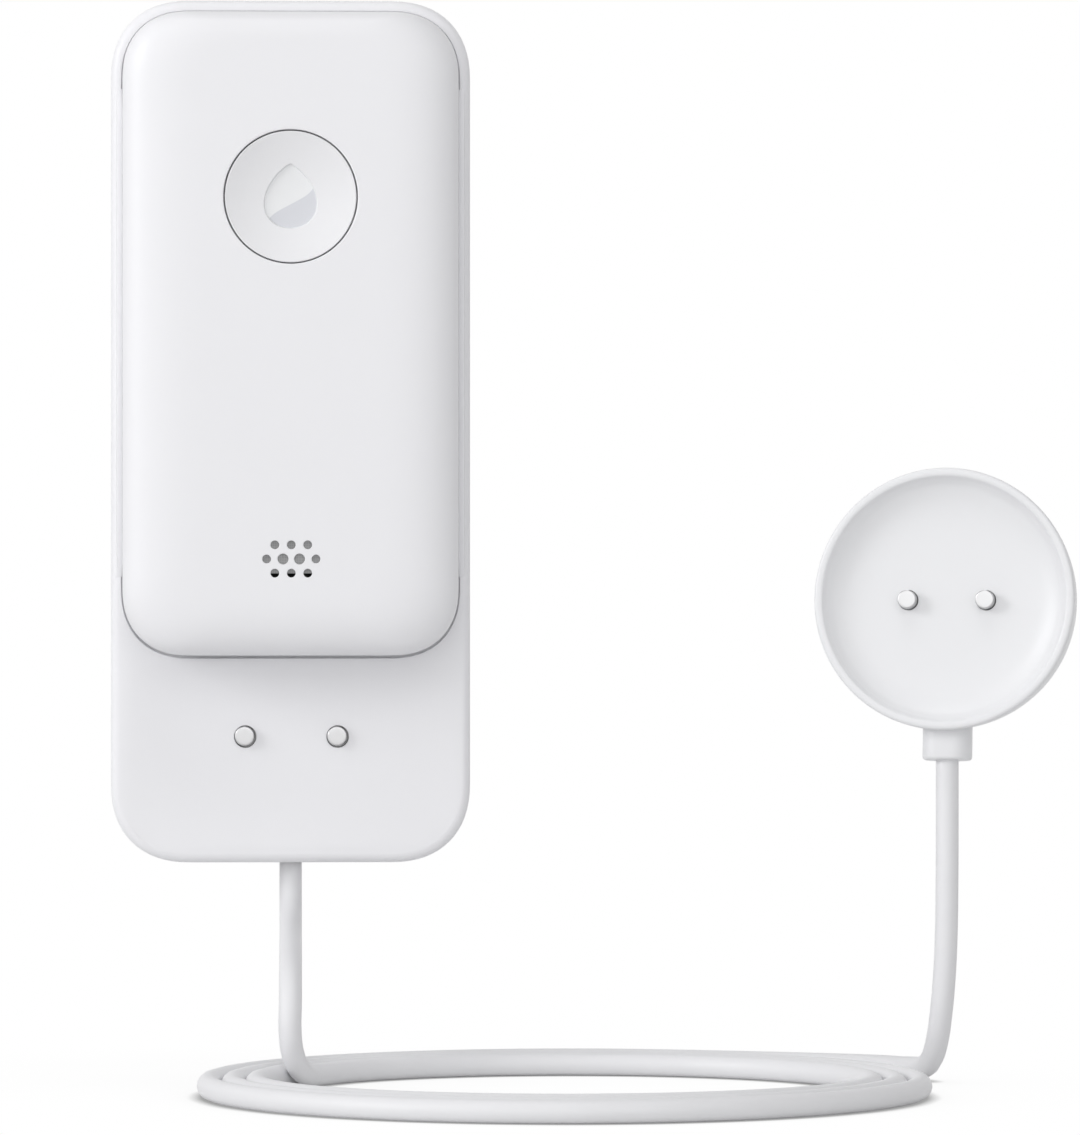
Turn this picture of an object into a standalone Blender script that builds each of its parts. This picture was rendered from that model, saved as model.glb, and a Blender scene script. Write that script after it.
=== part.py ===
import math

import bmesh
import bpy
import numpy as np
from mathutils import Matrix, Vector

# Frame: the unit hangs upright on a wall. The wall is the plane y = 0, the unit is in front of it
# at negative y, +Z is up and +X is to the right of someone who looks at the button.
# A depth below is the distance from the wall, so it is minus y.

# Clearances
contact_gap = 0.0003
button_clearance = 0.0003
pin_clearance = 0.0003
screw_clearance = 0.0003

# Rear housing
base_width = 0.048
base_height = 0.1152
base_corner = 0.0106
base_edge = 0.0012
base_back_edge = 0.0005
back_wall = 0.0020
land_width = 0.0046
lower_wall = 0.0033

# Ledge below the cover, and the small parts behind its wall
ledge_height = 0.0277
ledge_wall = 0.0019
dish_depth = 0.0014
dish_side_inset = 0.0021
dish_bottom_inset = 0.0022
dish_top_inset = 0.0011
pin_seal_thickness = 0.0007
pin_tail_length = 0.0013
pin_flange_radius = 0.0022
link_board_thickness = 0.0008
link_board_margin = 0.0048
link_board_below = 0.0050
link_board_above = 0.0070
link_board_clearance = 0.0010
ribbon_half_width = 0.0040
ribbon_thickness = 0.0003

# Front cover
cover_side_inset = 0.0017
cover_top_inset = 0.0020
cover_corner = 0.0090
cover_wall = 0.0018
cover_roll_side = 0.0112
cover_roll_bottom = 0.0086
cover_roll_top = 0.0042
cover_roll_depth = 0.0058

# Side rails that close the seam between cover and housing on the straight sides
rail_end_inset = 0.0102
rail_height = 0.0012
rail_width = 0.0008

# Contact pins of the ledge
ledge_pin_rise = 0.0169
ledge_pin_spacing = 0.01235
ledge_pin_radius = 0.001325
pin_stand = 0.00125

# Test button
button_drop = 0.0268
button_radius = 0.00865
button_dish = 0.0006
button_recess = 0.00015
button_flange = 0.0010
button_stem = 0.0005
button_stem_radius = 0.0016
button_travel = 0.0005

# Sounder holes: three, four and three, the middle two of the long row wider
sounder_rise = 0.01285
hole_pitch = 0.00217
hole_row = 0.00187
hole_radius = 0.00060
hole_radius_middle = 0.00074
sounder_radius = 0.0058
sounder_height = 0.0022
gasket_width = 0.0018

# Batteries, of the AAA size
cell_radius = 0.00525
cell_length = 0.0445
cell_nub_radius = 0.0019
cell_nub_length = 0.0008
cell_spacing = 0.0109
tray_wall = 0.0012
tray_floor = 0.0010
contact_plate = 0.0004
spring_length = 0.0041

# Boards
board_thickness = 0.0012
board_side_inset = 0.0048
board_tongue_clearance = 0.0007
post_radius = 0.0012
switch_size = 0.0060
switch_height = 0.0017
plunger_stand = 0.0005
chip_size = 0.0090
chip_height = 0.0012

# Screws
screw_radius = 0.0011
screw_head_radius = 0.0021
screw_head_height = 0.0014
boss_radius = 0.0034
cover_boss_radius = 0.0029
screw_side_inset = 0.0066
screw_end_inset = 0.0072
counterbore_depth = 0.0050

# Probe
probe_centre = (0.0853, -0.034, -0.0222)
probe_turn_left = math.radians(14)
probe_tilt_up = math.radians(5)
probe_radius = 0.0172
probe_depth = 0.0080
probe_dish_depth = 0.0026
probe_floor = 0.0014
probe_wall = 0.0034
probe_seat_wall = 0.0016
probe_seat_depth = 0.0060
probe_board_clearance = 0.0023
probe_board_thickness = 0.0008
probe_seal_thickness = 0.0004
probe_pin_spacing = 0.0103
probe_pin_radius = 0.00128
collar_width = 0.0065
collar_thickness = 0.0052
collar_length = 0.0037
spigot_width = 0.0040
spigot_thickness = 0.0013

# Cord
cord_diameter = 0.0030
floor_height = -0.0860
coil_outer_radius = 0.0490
coil_band = 0.0130
coil_wall_gap = 0.0006
coil_foot_x = 0.0821
coil_foot_angle = math.radians(24.4)
coil_start_angle = math.radians(162.3)
cord_exit_depth = 0.0043
grommet_radius = 0.0022
grommet_bore = 0.0016

# Facets
corner_steps = 7
corner_exponent = 2.3
round_steps = 26
small_round_steps = 14

# Derived levels
base_top = base_height / 2
base_bottom = -base_height / 2
cover_top = base_top - cover_top_inset
cover_bottom = base_bottom + ledge_height
cover_half = base_width / 2 - cover_side_inset
button_height = base_top - button_drop
sounder_centre = cover_bottom + sounder_rise
ledge_pin_height = base_bottom + ledge_pin_rise

# Depths behind the ledge, from the back wall to the face of the housing
link_back = back_wall + link_board_clearance
link_front = link_back + link_board_thickness
pin_tail = link_front + contact_gap
pin_flange = pin_tail + pin_tail_length
seal_back = pin_flange + contact_gap
seal_front = seal_back + pin_seal_thickness
ledge_cavity_depth = seal_front + contact_gap
ledge_surface = ledge_cavity_depth + ledge_wall
base_depth = ledge_surface + dish_depth
cover_rim = base_depth + contact_gap

# Depths behind the button, from the battery tray to the face of the cover
tray_back = back_wall + contact_gap
cell_depth = tray_back + tray_floor + contact_gap + cell_radius
board_back = cell_depth + cell_radius + contact_gap
board_front = board_back + board_thickness
mounted = board_front + contact_gap
plunger_top = mounted + switch_height + plunger_stand
stem_end = plunger_top + contact_gap
flange_back = stem_end + button_stem
flange_front = flange_back + button_flange
cover_inside = flange_front + contact_gap
cover_front = cover_inside + cover_wall
button_front = cover_front - button_recess

# Hollow behind the cover, with the battery tray in its middle and a screw boss in each corner
hollow_half = base_width / 2 - land_width
hollow_top = base_top - land_width
hollow_bottom = cover_bottom + land_width - cover_side_inset
cell_foot = (hollow_bottom + hollow_top - cell_length + spring_length) / 2
bridge_level = cell_foot + cell_length + contact_gap
tab_level = cell_foot - spring_length - contact_gap
tray_low = tab_level - contact_plate - contact_gap - tray_wall
tray_high = bridge_level + contact_plate + contact_gap + tray_wall
tray_half = cell_spacing / 2 + cell_radius + 0.0005 + tray_wall
screw_x = cover_half - screw_side_inset
screw_heights = (cover_top - screw_end_inset, cover_bottom + screw_end_inset)
board_half_width = base_width / 2 - board_side_inset
board_tongue = screw_x - boss_radius - board_tongue_clearance
board_shoulder = screw_heights[1] + boss_radius + 0.0008
board_top = screw_heights[0] - boss_radius - 0.0008

# Probe radii and the round coil of cord, which lies clear of the wall
probe_hollow_radius = probe_radius - probe_wall
probe_seat_radius = probe_radius - probe_seat_wall
collar_reach = probe_radius + collar_length
coil_inner_radius = coil_outer_radius - coil_band
coil_clear = coil_outer_radius + cord_diameter / 2 + contact_gap
coil_x = coil_foot_x - coil_clear * math.cos(coil_foot_angle)
coil_y = -coil_outer_radius - coil_wall_gap

for old in list(bpy.data.objects):
    bpy.data.objects.remove(old, do_unlink=True)


def look(name, colour, roughness, metallic=0.0):
    found = bpy.data.materials.get(name)
    if found:
        return found
    made = bpy.data.materials.new(name)
    made.use_nodes = True
    shader = made.node_tree.nodes["Principled BSDF"]
    shader.inputs["Base Color"].default_value = (*colour, 1)
    shader.inputs["Roughness"].default_value = roughness
    shader.inputs["Metallic"].default_value = metallic
    made.diffuse_color = (*colour, 1)
    return made


def add_mesh(name, points, faces, material):
    mesh = bpy.data.meshes.new(name)
    mesh.from_pydata([tuple(p) for p in points], [], faces)
    shape = bmesh.new()
    shape.from_mesh(mesh)
    bmesh.ops.remove_doubles(shape, verts=shape.verts, dist=1e-7)
    bmesh.ops.triangulate(shape, faces=[f for f in shape.faces if len(f.verts) == 4])
    bmesh.ops.recalc_face_normals(shape, faces=shape.faces)
    shape.to_mesh(mesh)
    shape.free()
    if material:
        mesh.materials.append(material)
    made = bpy.data.objects.new(name, mesh)
    bpy.context.scene.collection.objects.link(made)
    return made


def side_faces(count, loops, closed=False):
    faces = []
    last = loops if closed else loops - 1
    for k in range(last):
        below = k * count
        above = (k + 1) % loops * count
        for i in range(count):
            j = (i + 1) % count
            faces.append((below + i, below + j, above + j, above + i))
    return faces


# Loops of equal count joined in order, with both ends closed by a flat face
def loft(name, loops, material):
    count = len(loops[0])
    faces = side_faces(count, len(loops))
    faces.append(tuple(range(count)))
    faces.append(tuple(range((len(loops) - 1) * count, len(loops) * count)))
    return add_mesh(name, np.concatenate(loops), faces, material)


# Loops of equal count joined in order, and the last one to the first, as for a gasket
def loft_ring(name, loops, material):
    faces = side_faces(len(loops[0]), len(loops), True)
    return add_mesh(name, np.concatenate(loops), faces, material)


# A rectangle whose corners are quarter superellipses, in a plane parallel to the wall
def outline(half_width, bottom, top, corner, depth):
    angle = np.linspace(0, math.pi / 2, corner_steps + 1)
    across = np.cos(angle) ** (2 / corner_exponent) * corner
    along = np.sin(angle) ** (2 / corner_exponent) * corner
    inner = half_width - corner
    right_top = np.stack([inner + across, top - corner + along], 1)
    left_top = np.stack([-inner - across[::-1], top - corner + along[::-1]], 1)
    left_bottom = np.stack([-inner - across, bottom + corner - along], 1)
    right_bottom = np.stack([inner + across[::-1], bottom + corner - along[::-1]], 1)
    flat = np.concatenate([right_top, left_top, left_bottom, right_bottom])
    return np.stack([flat[:, 0], np.full(len(flat), -depth), flat[:, 1]], 1)


def base_loop(inset, depth):
    corner = base_corner - inset
    return outline(base_width / 2 - inset, base_bottom + inset, base_top - inset, corner, depth)


# A profile of (radius, height) turned about the local Z axis. It is a solid when both ends lie
# on the axis, and otherwise a ring.
def turned(name, profile, material, place=Matrix(), steps=round_steps):
    points = []
    faces = []
    rows = []
    for radius, height in profile:
        if radius == 0:
            rows.append([len(points)] * steps)
            points.append(Vector((0, 0, height)))
            continue
        rows.append(list(range(len(points), len(points) + steps)))
        for i in range(steps):
            angle = 2 * math.pi * i / steps
            points.append(Vector((radius * math.cos(angle), radius * math.sin(angle), height)))
    pairs = list(zip(rows, rows[1:]))
    if profile[0][0] > 0:
        pairs.append((rows[-1], rows[0]))
    for one, two in pairs:
        for i in range(steps):
            j = (i + 1) % steps
            corners = [one[i], one[j], two[j], two[i]]
            faces.append(tuple(dict.fromkeys(corners)))
    return add_mesh(name, [place @ p for p in points], faces, material)


# Places a turned piece so that its local heights are depths in front of the wall
def facing(x, z):
    return Matrix.Translation((x, 0, z)) @ Matrix.Rotation(math.pi / 2, 4, "X")


def upright(x, depth):
    return Matrix.Translation((x, -depth, 0))


def cylinder(name, radius, start, end, place, material=None, steps=small_round_steps):
    profile = [(0, start), (radius, start), (radius, end), (0, end)]
    return turned(name, profile, material, place, steps)


def tube_ring(name, inner, outer, start, end, place, material, steps=round_steps):
    profile = [(inner, start), (outer, start), (outer, end), (inner, end)]
    return turned(name, profile, material, place, steps)


# A flat polygon in x and z, from one depth to another
def plate(name, corners, start, end, material=None):
    near = np.array([(x, -start, z) for x, z in corners])
    far = np.array([(x, -end, z) for x, z in corners])
    return loft(name, [near, far], material)


def block(name, x, z, depth, material=None):
    corners = [(x[0], z[0]), (x[1], z[0]), (x[1], z[1]), (x[0], z[1])]
    return plate(name, corners, depth[0], depth[1], material)


def combine(target, tool, operation):
    step = target.modifiers.new(operation.lower(), "BOOLEAN")
    step.operation = operation
    step.solver = "EXACT"
    step.object = tool
    bpy.context.view_layer.update()
    graph = bpy.context.evaluated_depsgraph_get()
    mesh = bpy.data.meshes.new_from_object(target.evaluated_get(graph))
    target.modifiers.clear()
    target.data = mesh
    shape = bmesh.new()
    shape.from_mesh(mesh)
    bmesh.ops.remove_doubles(shape, verts=shape.verts, dist=2e-6)
    bmesh.ops.dissolve_degenerate(shape, edges=shape.edges, dist=1e-6)
    shape.to_mesh(mesh)
    shape.free()
    bpy.data.objects.remove(tool, do_unlink=True)


def cut(target, tool):
    combine(target, tool, "DIFFERENCE")


def join(target, tool):
    combine(target, tool, "UNION")


# A smooth line through hand-chosen points, read at even steps of its length
def smooth_line(points, count):
    knots = np.array(points, float)
    knots = np.concatenate([[2 * knots[0] - knots[1]], knots, [2 * knots[-1] - knots[-2]]])
    t = np.linspace(0, 1, 40, endpoint=False)[:, None]
    rows = []
    for k in range(1, len(knots) - 2):
        a, b, c, d = knots[k - 1 : k + 3]
        cubic = 2 * b + (c - a) * t + (2 * a - 5 * b + 4 * c - d) * t**2 + (3 * b - a - 3 * c + d) * t**3
        rows.append(cubic / 2)
    line = np.concatenate([*rows, [knots[-2]]])
    length = np.concatenate([[0], np.cumsum(np.linalg.norm(np.diff(line, axis=0), axis=1))])
    even = np.linspace(0, length[-1], count)
    return np.stack([np.interp(even, length, line[:, i]) for i in range(3)], 1)


def tube(name, line, radius, material, resolution=2):
    curve = bpy.data.curves.new(name, "CURVE")
    curve.dimensions = "3D"
    curve.bevel_depth = radius
    curve.bevel_resolution = resolution
    curve.use_fill_caps = True
    spline = curve.splines.new("POLY")
    spline.points.add(len(line) - 1)
    for point, place in zip(spline.points, line):
        point.co = (*place, 1)
    curve.materials.append(material)
    made = bpy.data.objects.new(name, curve)
    bpy.context.scene.collection.objects.link(made)
    return made


# Points of a coil spring between two heights of its local Z axis, its end turns closed flat
def spring_line(place, start, end, radius, turns, narrow=1.0):
    count = int(turns * 10) + 1
    line = []
    for i in range(count):
        part = i / (count - 1)
        rise = min(max((part * turns - 0.6) / (turns - 1.2), 0), 1)
        angle = 2 * math.pi * turns * part
        wide = radius * (1 + (narrow - 1) * part)
        height = start + (end - start) * rise
        line.append(place @ Vector((wide * math.cos(angle), wide * math.sin(angle), height)))
    return line


white = look("white_plastic", (0.81, 0.82, 0.83), 0.42)
button_white = look("button_plastic", (0.80, 0.81, 0.82), 0.36)
probe_white = look("probe_plastic", (0.81, 0.82, 0.83), 0.40)
cord_white = look("cord_jacket", (0.74, 0.75, 0.76), 0.45)
steel = look("pin_steel", (0.72, 0.73, 0.74), 0.25, 1.0)
dark_rubber = look("seal_rubber", (0.16, 0.16, 0.17), 0.75)
board_green = look("board_laminate", (0.08, 0.30, 0.16), 0.45)
chip_black = look("chip_plastic", (0.05, 0.05, 0.055), 0.5)
tray_grey = look("tray_plastic", (0.30, 0.31, 0.32), 0.5)
sounder_black = look("sounder_plastic", (0.09, 0.09, 0.10), 0.4)
nickel = look("contact_nickel", (0.70, 0.69, 0.66), 0.3, 1.0)
cell_wrap = look("cell_wrap", (0.33, 0.36, 0.40), 0.35)
screw_steel = look("screw_steel", (0.55, 0.55, 0.56), 0.35, 1.0)
ribbon_tan = look("ribbon_film", (0.72, 0.50, 0.24), 0.4)

# Rear housing: outer shell
rounding = [(base_edge * (1 - math.cos(a)), base_edge * math.sin(a)) for a in np.radians([0, 30, 60, 90])]
loops = [base_loop(base_back_edge, 0), base_loop(0, base_back_edge)]
for inset, rise in rounding:
    loops.append(base_loop(inset, base_depth - base_edge + rise))
rear_housing = loft("rear_housing", loops, white)

# Rear housing: the hollow behind the cover and the lower one behind the ledge
hollow = [outline(hollow_half, hollow_bottom, hollow_top, 0.006, d) for d in (back_wall, cover_rim + 0.002)]
cut(rear_housing, loft("hollow", hollow, None))
lower_floor = base_bottom + lower_wall
lower_top = hollow_bottom + 0.003
lower = [outline(hollow_half, lower_floor, lower_top, 0.006, d) for d in (back_wall, ledge_cavity_depth)]
cut(rear_housing, loft("lower_hollow", lower, None))


# Rear housing: the shallow dish of the ledge. The depth falls off as a power of the distance from
# the middle in x, and in z it is steep under the cover and gentle towards the lower edge.
def dish_cutter():
    across = np.sin(np.linspace(-math.pi / 2, math.pi / 2, 17))
    up = (1 - np.cos(np.linspace(0, math.pi, 15))) / 2
    half = base_width / 2 - dish_side_inset
    low = base_bottom + dish_bottom_inset
    high = cover_bottom - dish_top_inset
    points = []
    for s in up:
        for u in across:
            fall = (1 - abs(u) ** 3) * (1 - (1 - s) ** 2.2) * (1 - s**9) * 1.02
            deep = base_depth - dish_depth * fall + 0.00005
            points.append((u * half, -deep, low + s * (high - low)))
    count = len(across)
    rows = len(up)
    faces = []
    for j in range(rows - 1):
        for i in range(count - 1):
            k = j * count + i
            faces.append((k, k + 1, k + count + 1, k + count))
    rim = list(range(count)) + [j * count + count - 1 for j in range(1, rows)]
    rim += [(rows - 1) * count + i for i in range(count - 2, -1, -1)]
    rim += [j * count for j in range(rows - 2, 0, -1)]
    start = len(points)
    points += [(points[k][0], -base_depth - 0.002, points[k][2]) for k in rim]
    for k in range(len(rim)):
        m = (k + 1) % len(rim)
        faces.append((rim[k], rim[m], start + m, start + k))
    faces.append(tuple(range(start, len(points))))
    return add_mesh("dish", points, faces, None)


cut(rear_housing, dish_cutter())

# Rear housing: side rails, screw bosses with their counterbores, and posts under the board
rail_levels = (cover_bottom + rail_end_inset, cover_top - rail_end_inset)
rail_inner = cover_half + contact_gap
for side in (-1, 1):
    edges = sorted((side * rail_inner, side * (rail_inner + rail_width)))
    rail = block("rail", edges, rail_levels, (base_depth - 0.001, base_depth + rail_height))
    join(rear_housing, rail)
for side in (-1, 1):
    for height in screw_heights:
        place = facing(side * screw_x, height)
        join(rear_housing, cylinder("boss", boss_radius, back_wall - 0.001, base_depth - 0.0004, place))
for side in (-1, 1):
    for height in screw_heights:
        place = facing(side * screw_x, height)
        bore = [
            (0, -0.001),
            (screw_head_radius + screw_clearance, -0.001),
            (screw_head_radius + screw_clearance, counterbore_depth),
            (screw_radius + screw_clearance, counterbore_depth),
            (screw_radius + screw_clearance, base_depth + 0.001),
            (0, base_depth + 0.001),
        ]
        cut(rear_housing, turned("bore", bore, None, place, small_round_steps))
post_inset = (board_top - board_shoulder) / 5
for side in (-1, 1):
    for height in (board_shoulder + post_inset, board_top - post_inset):
        place = facing(side * (board_half_width - post_radius), height)
        join(rear_housing, cylinder("post", post_radius, back_wall - 0.001, board_back - contact_gap, place))

# Rear housing: holes for the contact pins and for the cord
for side in (-1, 1):
    place = facing(side * ledge_pin_spacing / 2, ledge_pin_height)
    radius = ledge_pin_radius + pin_clearance
    cut(rear_housing, cylinder("hole", radius, ledge_cavity_depth - 0.001, base_depth + 0.001, place))
cord_hole = cylinder(
    "cord_hole",
    grommet_radius + contact_gap,
    base_bottom - 0.001,
    lower_floor + 0.001,
    upright(0, cord_exit_depth),
    None,
    20,
)
cut(rear_housing, cord_hole)


# Front cover: one outline per step of the roll-off, from the flat front to the open rim. The
# roll-off is a quarter superellipse that is wide at the sides, narrower below and short above.
def cover_loop(part, depth, wall):
    inset = 1 - part
    half = cover_half - wall - inset * (cover_roll_side - wall)
    low = cover_bottom + wall + inset * (cover_roll_bottom - wall)
    high = cover_top - wall - inset * (cover_roll_top - wall * 0.6)
    corner = (cover_corner - wall) * (0.62 + 0.38 * part)
    return outline(half, low, high, corner, depth)


steps = np.radians([6, 20, 34, 48, 62, 76, 90])
roll = [(math.sin(a) ** (2 / 2.15), 1 - math.cos(a) ** (2 / 2.15)) for a in steps]
loops = []
for part, fall in roll:
    loops.append(cover_loop(part, cover_front - cover_roll_depth * fall, 0))
loops.append(cover_loop(1, cover_rim, 0))
loops.append(cover_loop(1, cover_rim, cover_wall))
for part, fall in reversed(roll):
    loops.append(cover_loop(part, cover_inside - (cover_roll_depth - 0.0008) * fall, cover_wall))
front_cover = loft("front_cover", loops, white)

# Front cover: screw bosses that reach from the rim's level to the inside of the front
for side in (-1, 1):
    for height in screw_heights:
        place = facing(side * screw_x, height)
        reach = cover_front - 0.0025
        join(front_cover, cylinder("boss", cover_boss_radius, cover_rim, reach, place))
        hole = cylinder("hole", screw_radius + screw_clearance, cover_rim - 0.001, reach - 0.0022, place)
        cut(front_cover, hole)

# Front cover: button hole with its soft bevel, and the sounder holes
bore_radius = button_radius + button_clearance
bevel = [
    (0, cover_inside - 0.001),
    (bore_radius, cover_inside - 0.001),
    (bore_radius, cover_front - 0.00025),
    (bore_radius + 0.0004, cover_front + 0.00005),
    (bore_radius + 0.0004, cover_front + 0.001),
    (0, cover_front + 0.001),
]
cut(front_cover, turned("button_hole", bevel, None, facing(0, button_height), 40))
for row, count in ((1, 3), (0, 4), (-1, 3)):
    for k in range(count):
        x = (k - (count - 1) / 2) * hole_pitch
        wide = hole_radius_middle if count == 4 and k in (1, 2) else hole_radius
        place = facing(x, sounder_centre + row * hole_row)
        cut(front_cover, cylinder("hole", wide, cover_inside - 0.001, cover_front + 0.001, place, None, 12))

# Test button: concave face, flange behind the cover and a stem over the switch. Heights are
# counted from the wall and moved to the button's own origin on its axis.
face = [(0, button_front - button_dish)]
for part in (0.3, 0.55, 0.78, 0.93):
    face.append((button_radius * part, button_front - button_dish * (1 - part**2)))
outer = [
    (button_radius - 0.00025, button_front),
    (button_radius, button_front - 0.0003),
    (button_radius, flange_front),
    (button_radius + 0.0011, flange_front),
    (button_radius + 0.0011, flange_back),
    (button_stem_radius + 0.0014, flange_back),
    (button_stem_radius, flange_back - 0.0002),
    (button_stem_radius, stem_end),
    (0, stem_end),
]
profile = [(r, h - button_front) for r, h in face + outer]
test_button = turned("test_button", profile, button_white, Matrix.Rotation(math.pi / 2, 4, "X"), 40)
test_button.location = (0, -button_front, button_height)

# Main board: a plain upper part and a narrower tongue that reaches past the lower screw bosses
# to the sounder
tongue_end = sounder_centre - sounder_radius - 0.0012
board_edge = [
    (-board_half_width, board_shoulder),
    (-board_tongue, board_shoulder),
    (-board_tongue, tongue_end),
    (board_tongue, tongue_end),
    (board_tongue, board_shoulder),
    (board_half_width, board_shoulder),
    (board_half_width, board_top),
    (-board_half_width, board_top),
]
plate("circuit_board", board_edge, board_back, board_front, board_green)
half = chip_size / 2
middle = (button_height + sounder_centre) / 2
levels = (middle - half, middle + half)
block("control_chip", (-half, half), levels, (mounted, mounted + chip_height), chip_black)

# Switch under the button, with a plunger that moves with it
half = switch_size / 2
levels = (button_height - half, button_height + half)
tact_switch = block("tact_switch", (-half, half), levels, (mounted, mounted + switch_height), chip_black)
pocket_floor = mounted + 0.0003
plunger_radius = 0.0015
axis = facing(0, button_height)
pocket = cylinder("pocket", plunger_radius + contact_gap, pocket_floor, mounted + 0.01, axis)
cut(tact_switch, pocket)
plunger_foot = pocket_floor + button_travel + 0.0001
plunger_length = plunger_top - plunger_foot
profile = [(0, 0), (plunger_radius, 0), (plunger_radius, plunger_length), (0, plunger_length)]
turn = Matrix.Rotation(math.pi / 2, 4, "X")
switch_plunger = turned("switch_plunger", profile, sounder_black, turn, small_round_steps)
switch_plunger.location = (0, -plunger_foot, button_height)

# Sounder with its gasket and its protective mesh
axis = facing(0, sounder_centre)
sounder_top = mounted + sounder_height
profile = [
    (0, mounted),
    (sounder_radius, mounted),
    (sounder_radius, sounder_top - 0.0003),
    (sounder_radius - 0.0003, sounder_top),
    (0.0011, sounder_top),
    (0.0011, sounder_top - 0.001),
    (0, sounder_top - 0.001),
]
turned("sounder", profile, sounder_black, axis)
gasket_inner = sounder_radius - gasket_width
gasket_foot = sounder_top + contact_gap
gasket_top = cover_inside - contact_gap
tube_ring("sounder_gasket", gasket_inner, sounder_radius, gasket_foot, gasket_top, axis, dark_rubber)
mesh_radius = gasket_inner - contact_gap
cylinder("sounder_mesh", mesh_radius, gasket_top - 0.0004, gasket_top, axis, dark_rubber, round_steps)

# Batteries: the left one stands with its nub up, the right one with its nub down
tray_front = cell_depth - 0.0004
levels = (tray_low, tray_high)
tray = block("battery_tray", (-tray_half, tray_half), levels, (tray_back, tray_front), tray_grey)
inner_half = tray_half - tray_wall
levels = (tray_low + tray_wall, tray_high - tray_wall)
cut(tray, block("inside", (-inner_half, inner_half), levels, (tray_back + tray_floor, tray_front + 0.002)))
rib = (tray_back + tray_floor - 0.0004, tray_back + tray_floor + 0.0022)
join(tray, block("rib", (-0.0004, 0.0004), (tab_level + 0.002, bridge_level - 0.002), rib))


def cell_profile(foot, nub):
    sign = 1 if nub > foot else -1
    shoulder_level = nub - sign * cell_nub_length
    rounded = sign * 0.0004
    profile = [
        (0, foot),
        (cell_radius - 0.0004, foot),
        (cell_radius, foot + rounded),
        (cell_radius, shoulder_level - rounded),
        (cell_radius - 0.0004, shoulder_level),
        (cell_nub_radius, shoulder_level),
        (cell_nub_radius, nub),
        (0, nub),
    ]
    return profile


left = upright(-cell_spacing / 2, cell_depth)
right = upright(cell_spacing / 2, cell_depth)
right_foot = bridge_level - contact_gap - spring_length - contact_gap
left_profile = cell_profile(cell_foot, cell_foot + cell_length)
right_profile = cell_profile(right_foot, right_foot - cell_length)
turned("battery_left", left_profile, cell_wrap, left)
turned("battery_right", right_profile, cell_wrap, right)
plate_levels = (bridge_level, bridge_level + contact_plate)
plate_depth = (tray_back + tray_floor + contact_gap, cell_depth + 0.0030)
inside = inner_half - contact_gap
block("battery_bridge", (-inside, inside), plate_levels, plate_depth, nickel)
plate_levels = (tab_level - contact_plate, tab_level)
block("battery_tab_minus", (-inside, -0.0007), plate_levels, plate_depth, nickel)
block("battery_tab_plus", (0.0007, inside), plate_levels, plate_depth, nickel)
wire = 0.00025
low = tab_level + wire + contact_gap
high = cell_foot - wire - contact_gap
tube("battery_spring_left", spring_line(left, low, high, 0.0034, 3.5, 0.65), wire, nickel, 1)
low = bridge_level - wire - contact_gap
high = right_foot + wire + contact_gap
tube("battery_spring_right", spring_line(right, low, high, 0.0034, 3.5, 0.65), wire, nickel, 1)

# Contact pins of the ledge, each with a seal behind the wall, and the small board behind them
for name, side in (("left", -1), ("right", 1)):
    axis = facing(side * ledge_pin_spacing / 2, ledge_pin_height)
    top = ledge_surface + pin_stand
    profile = [
        (0, pin_tail),
        (0.0006, pin_tail),
        (0.0006, pin_flange - 0.0006),
        (pin_flange_radius, pin_flange - 0.0006),
        (pin_flange_radius, pin_flange),
        (ledge_pin_radius, pin_flange),
        (ledge_pin_radius, top - 0.0002),
        (ledge_pin_radius - 0.0002, top),
        (0, top),
    ]
    turned("contact_pin_" + name, profile, steel, axis, 20)
    inner = ledge_pin_radius + contact_gap
    outer = pin_flange_radius + 0.0002
    tube_ring("pin_seal_" + name, inner, outer, seal_back, seal_front, axis, dark_rubber, 20)
levels = (ledge_pin_height - link_board_below, ledge_pin_height + link_board_above)
half = ledge_pin_spacing / 2 + link_board_margin
block("contact_board", (-half, half), levels, (link_back, link_front), board_green)

# Ribbon from the small board up to the back of the main board
ribbon_room = tray_low - hollow_bottom
ribbon_start = link_front + contact_gap
ribbon_end = board_back - contact_gap - ribbon_thickness
ribbon_path = [
    (ribbon_start, levels[1] - link_board_above / 2),
    (ribbon_start, hollow_bottom + ribbon_room * 0.04),
    (ribbon_start + 0.0019, hollow_bottom + ribbon_room * 0.18),
    (ribbon_end - 0.0024, hollow_bottom + ribbon_room * 0.22),
    (ribbon_end, hollow_bottom + ribbon_room * 0.36),
    (ribbon_end, hollow_bottom + ribbon_room * 0.65),
]
left_side = []
right_side = []
for k, spot in enumerate(ribbon_path):
    before = Vector(ribbon_path[max(k - 1, 0)])
    after = Vector(ribbon_path[min(k + 1, len(ribbon_path) - 1)])
    along = (after - before).normalized()
    normal = Vector((along.y, -along.x)) * ribbon_thickness / 2
    middle = Vector(spot) + Vector((ribbon_thickness / 2, 0))
    left_side.append(middle + normal)
    right_side.append(middle - normal)
section = left_side + right_side[::-1]
loops = [np.array([(x, -p.x, p.y) for p in section]) for x in (-ribbon_half_width, ribbon_half_width)]
loft("link_ribbon", loops, ribbon_tan)

# Seal between the housing's land and the inside of the cover's rim
seal_outer = cover_half - cover_wall - contact_gap
drop = cover_half - seal_outer
seal_width = 0.0009
seal_top = cover_rim + 0.001
loops = []
for inset, level in ((0, cover_rim), (0, seal_top), (seal_width, seal_top), (seal_width, cover_rim)):
    low = cover_bottom + drop + inset
    high = cover_top - drop - inset
    loops.append(outline(seal_outer - inset, low, high, cover_corner - drop - inset, level))
loft_ring("housing_seal", loops, dark_rubber)

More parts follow.
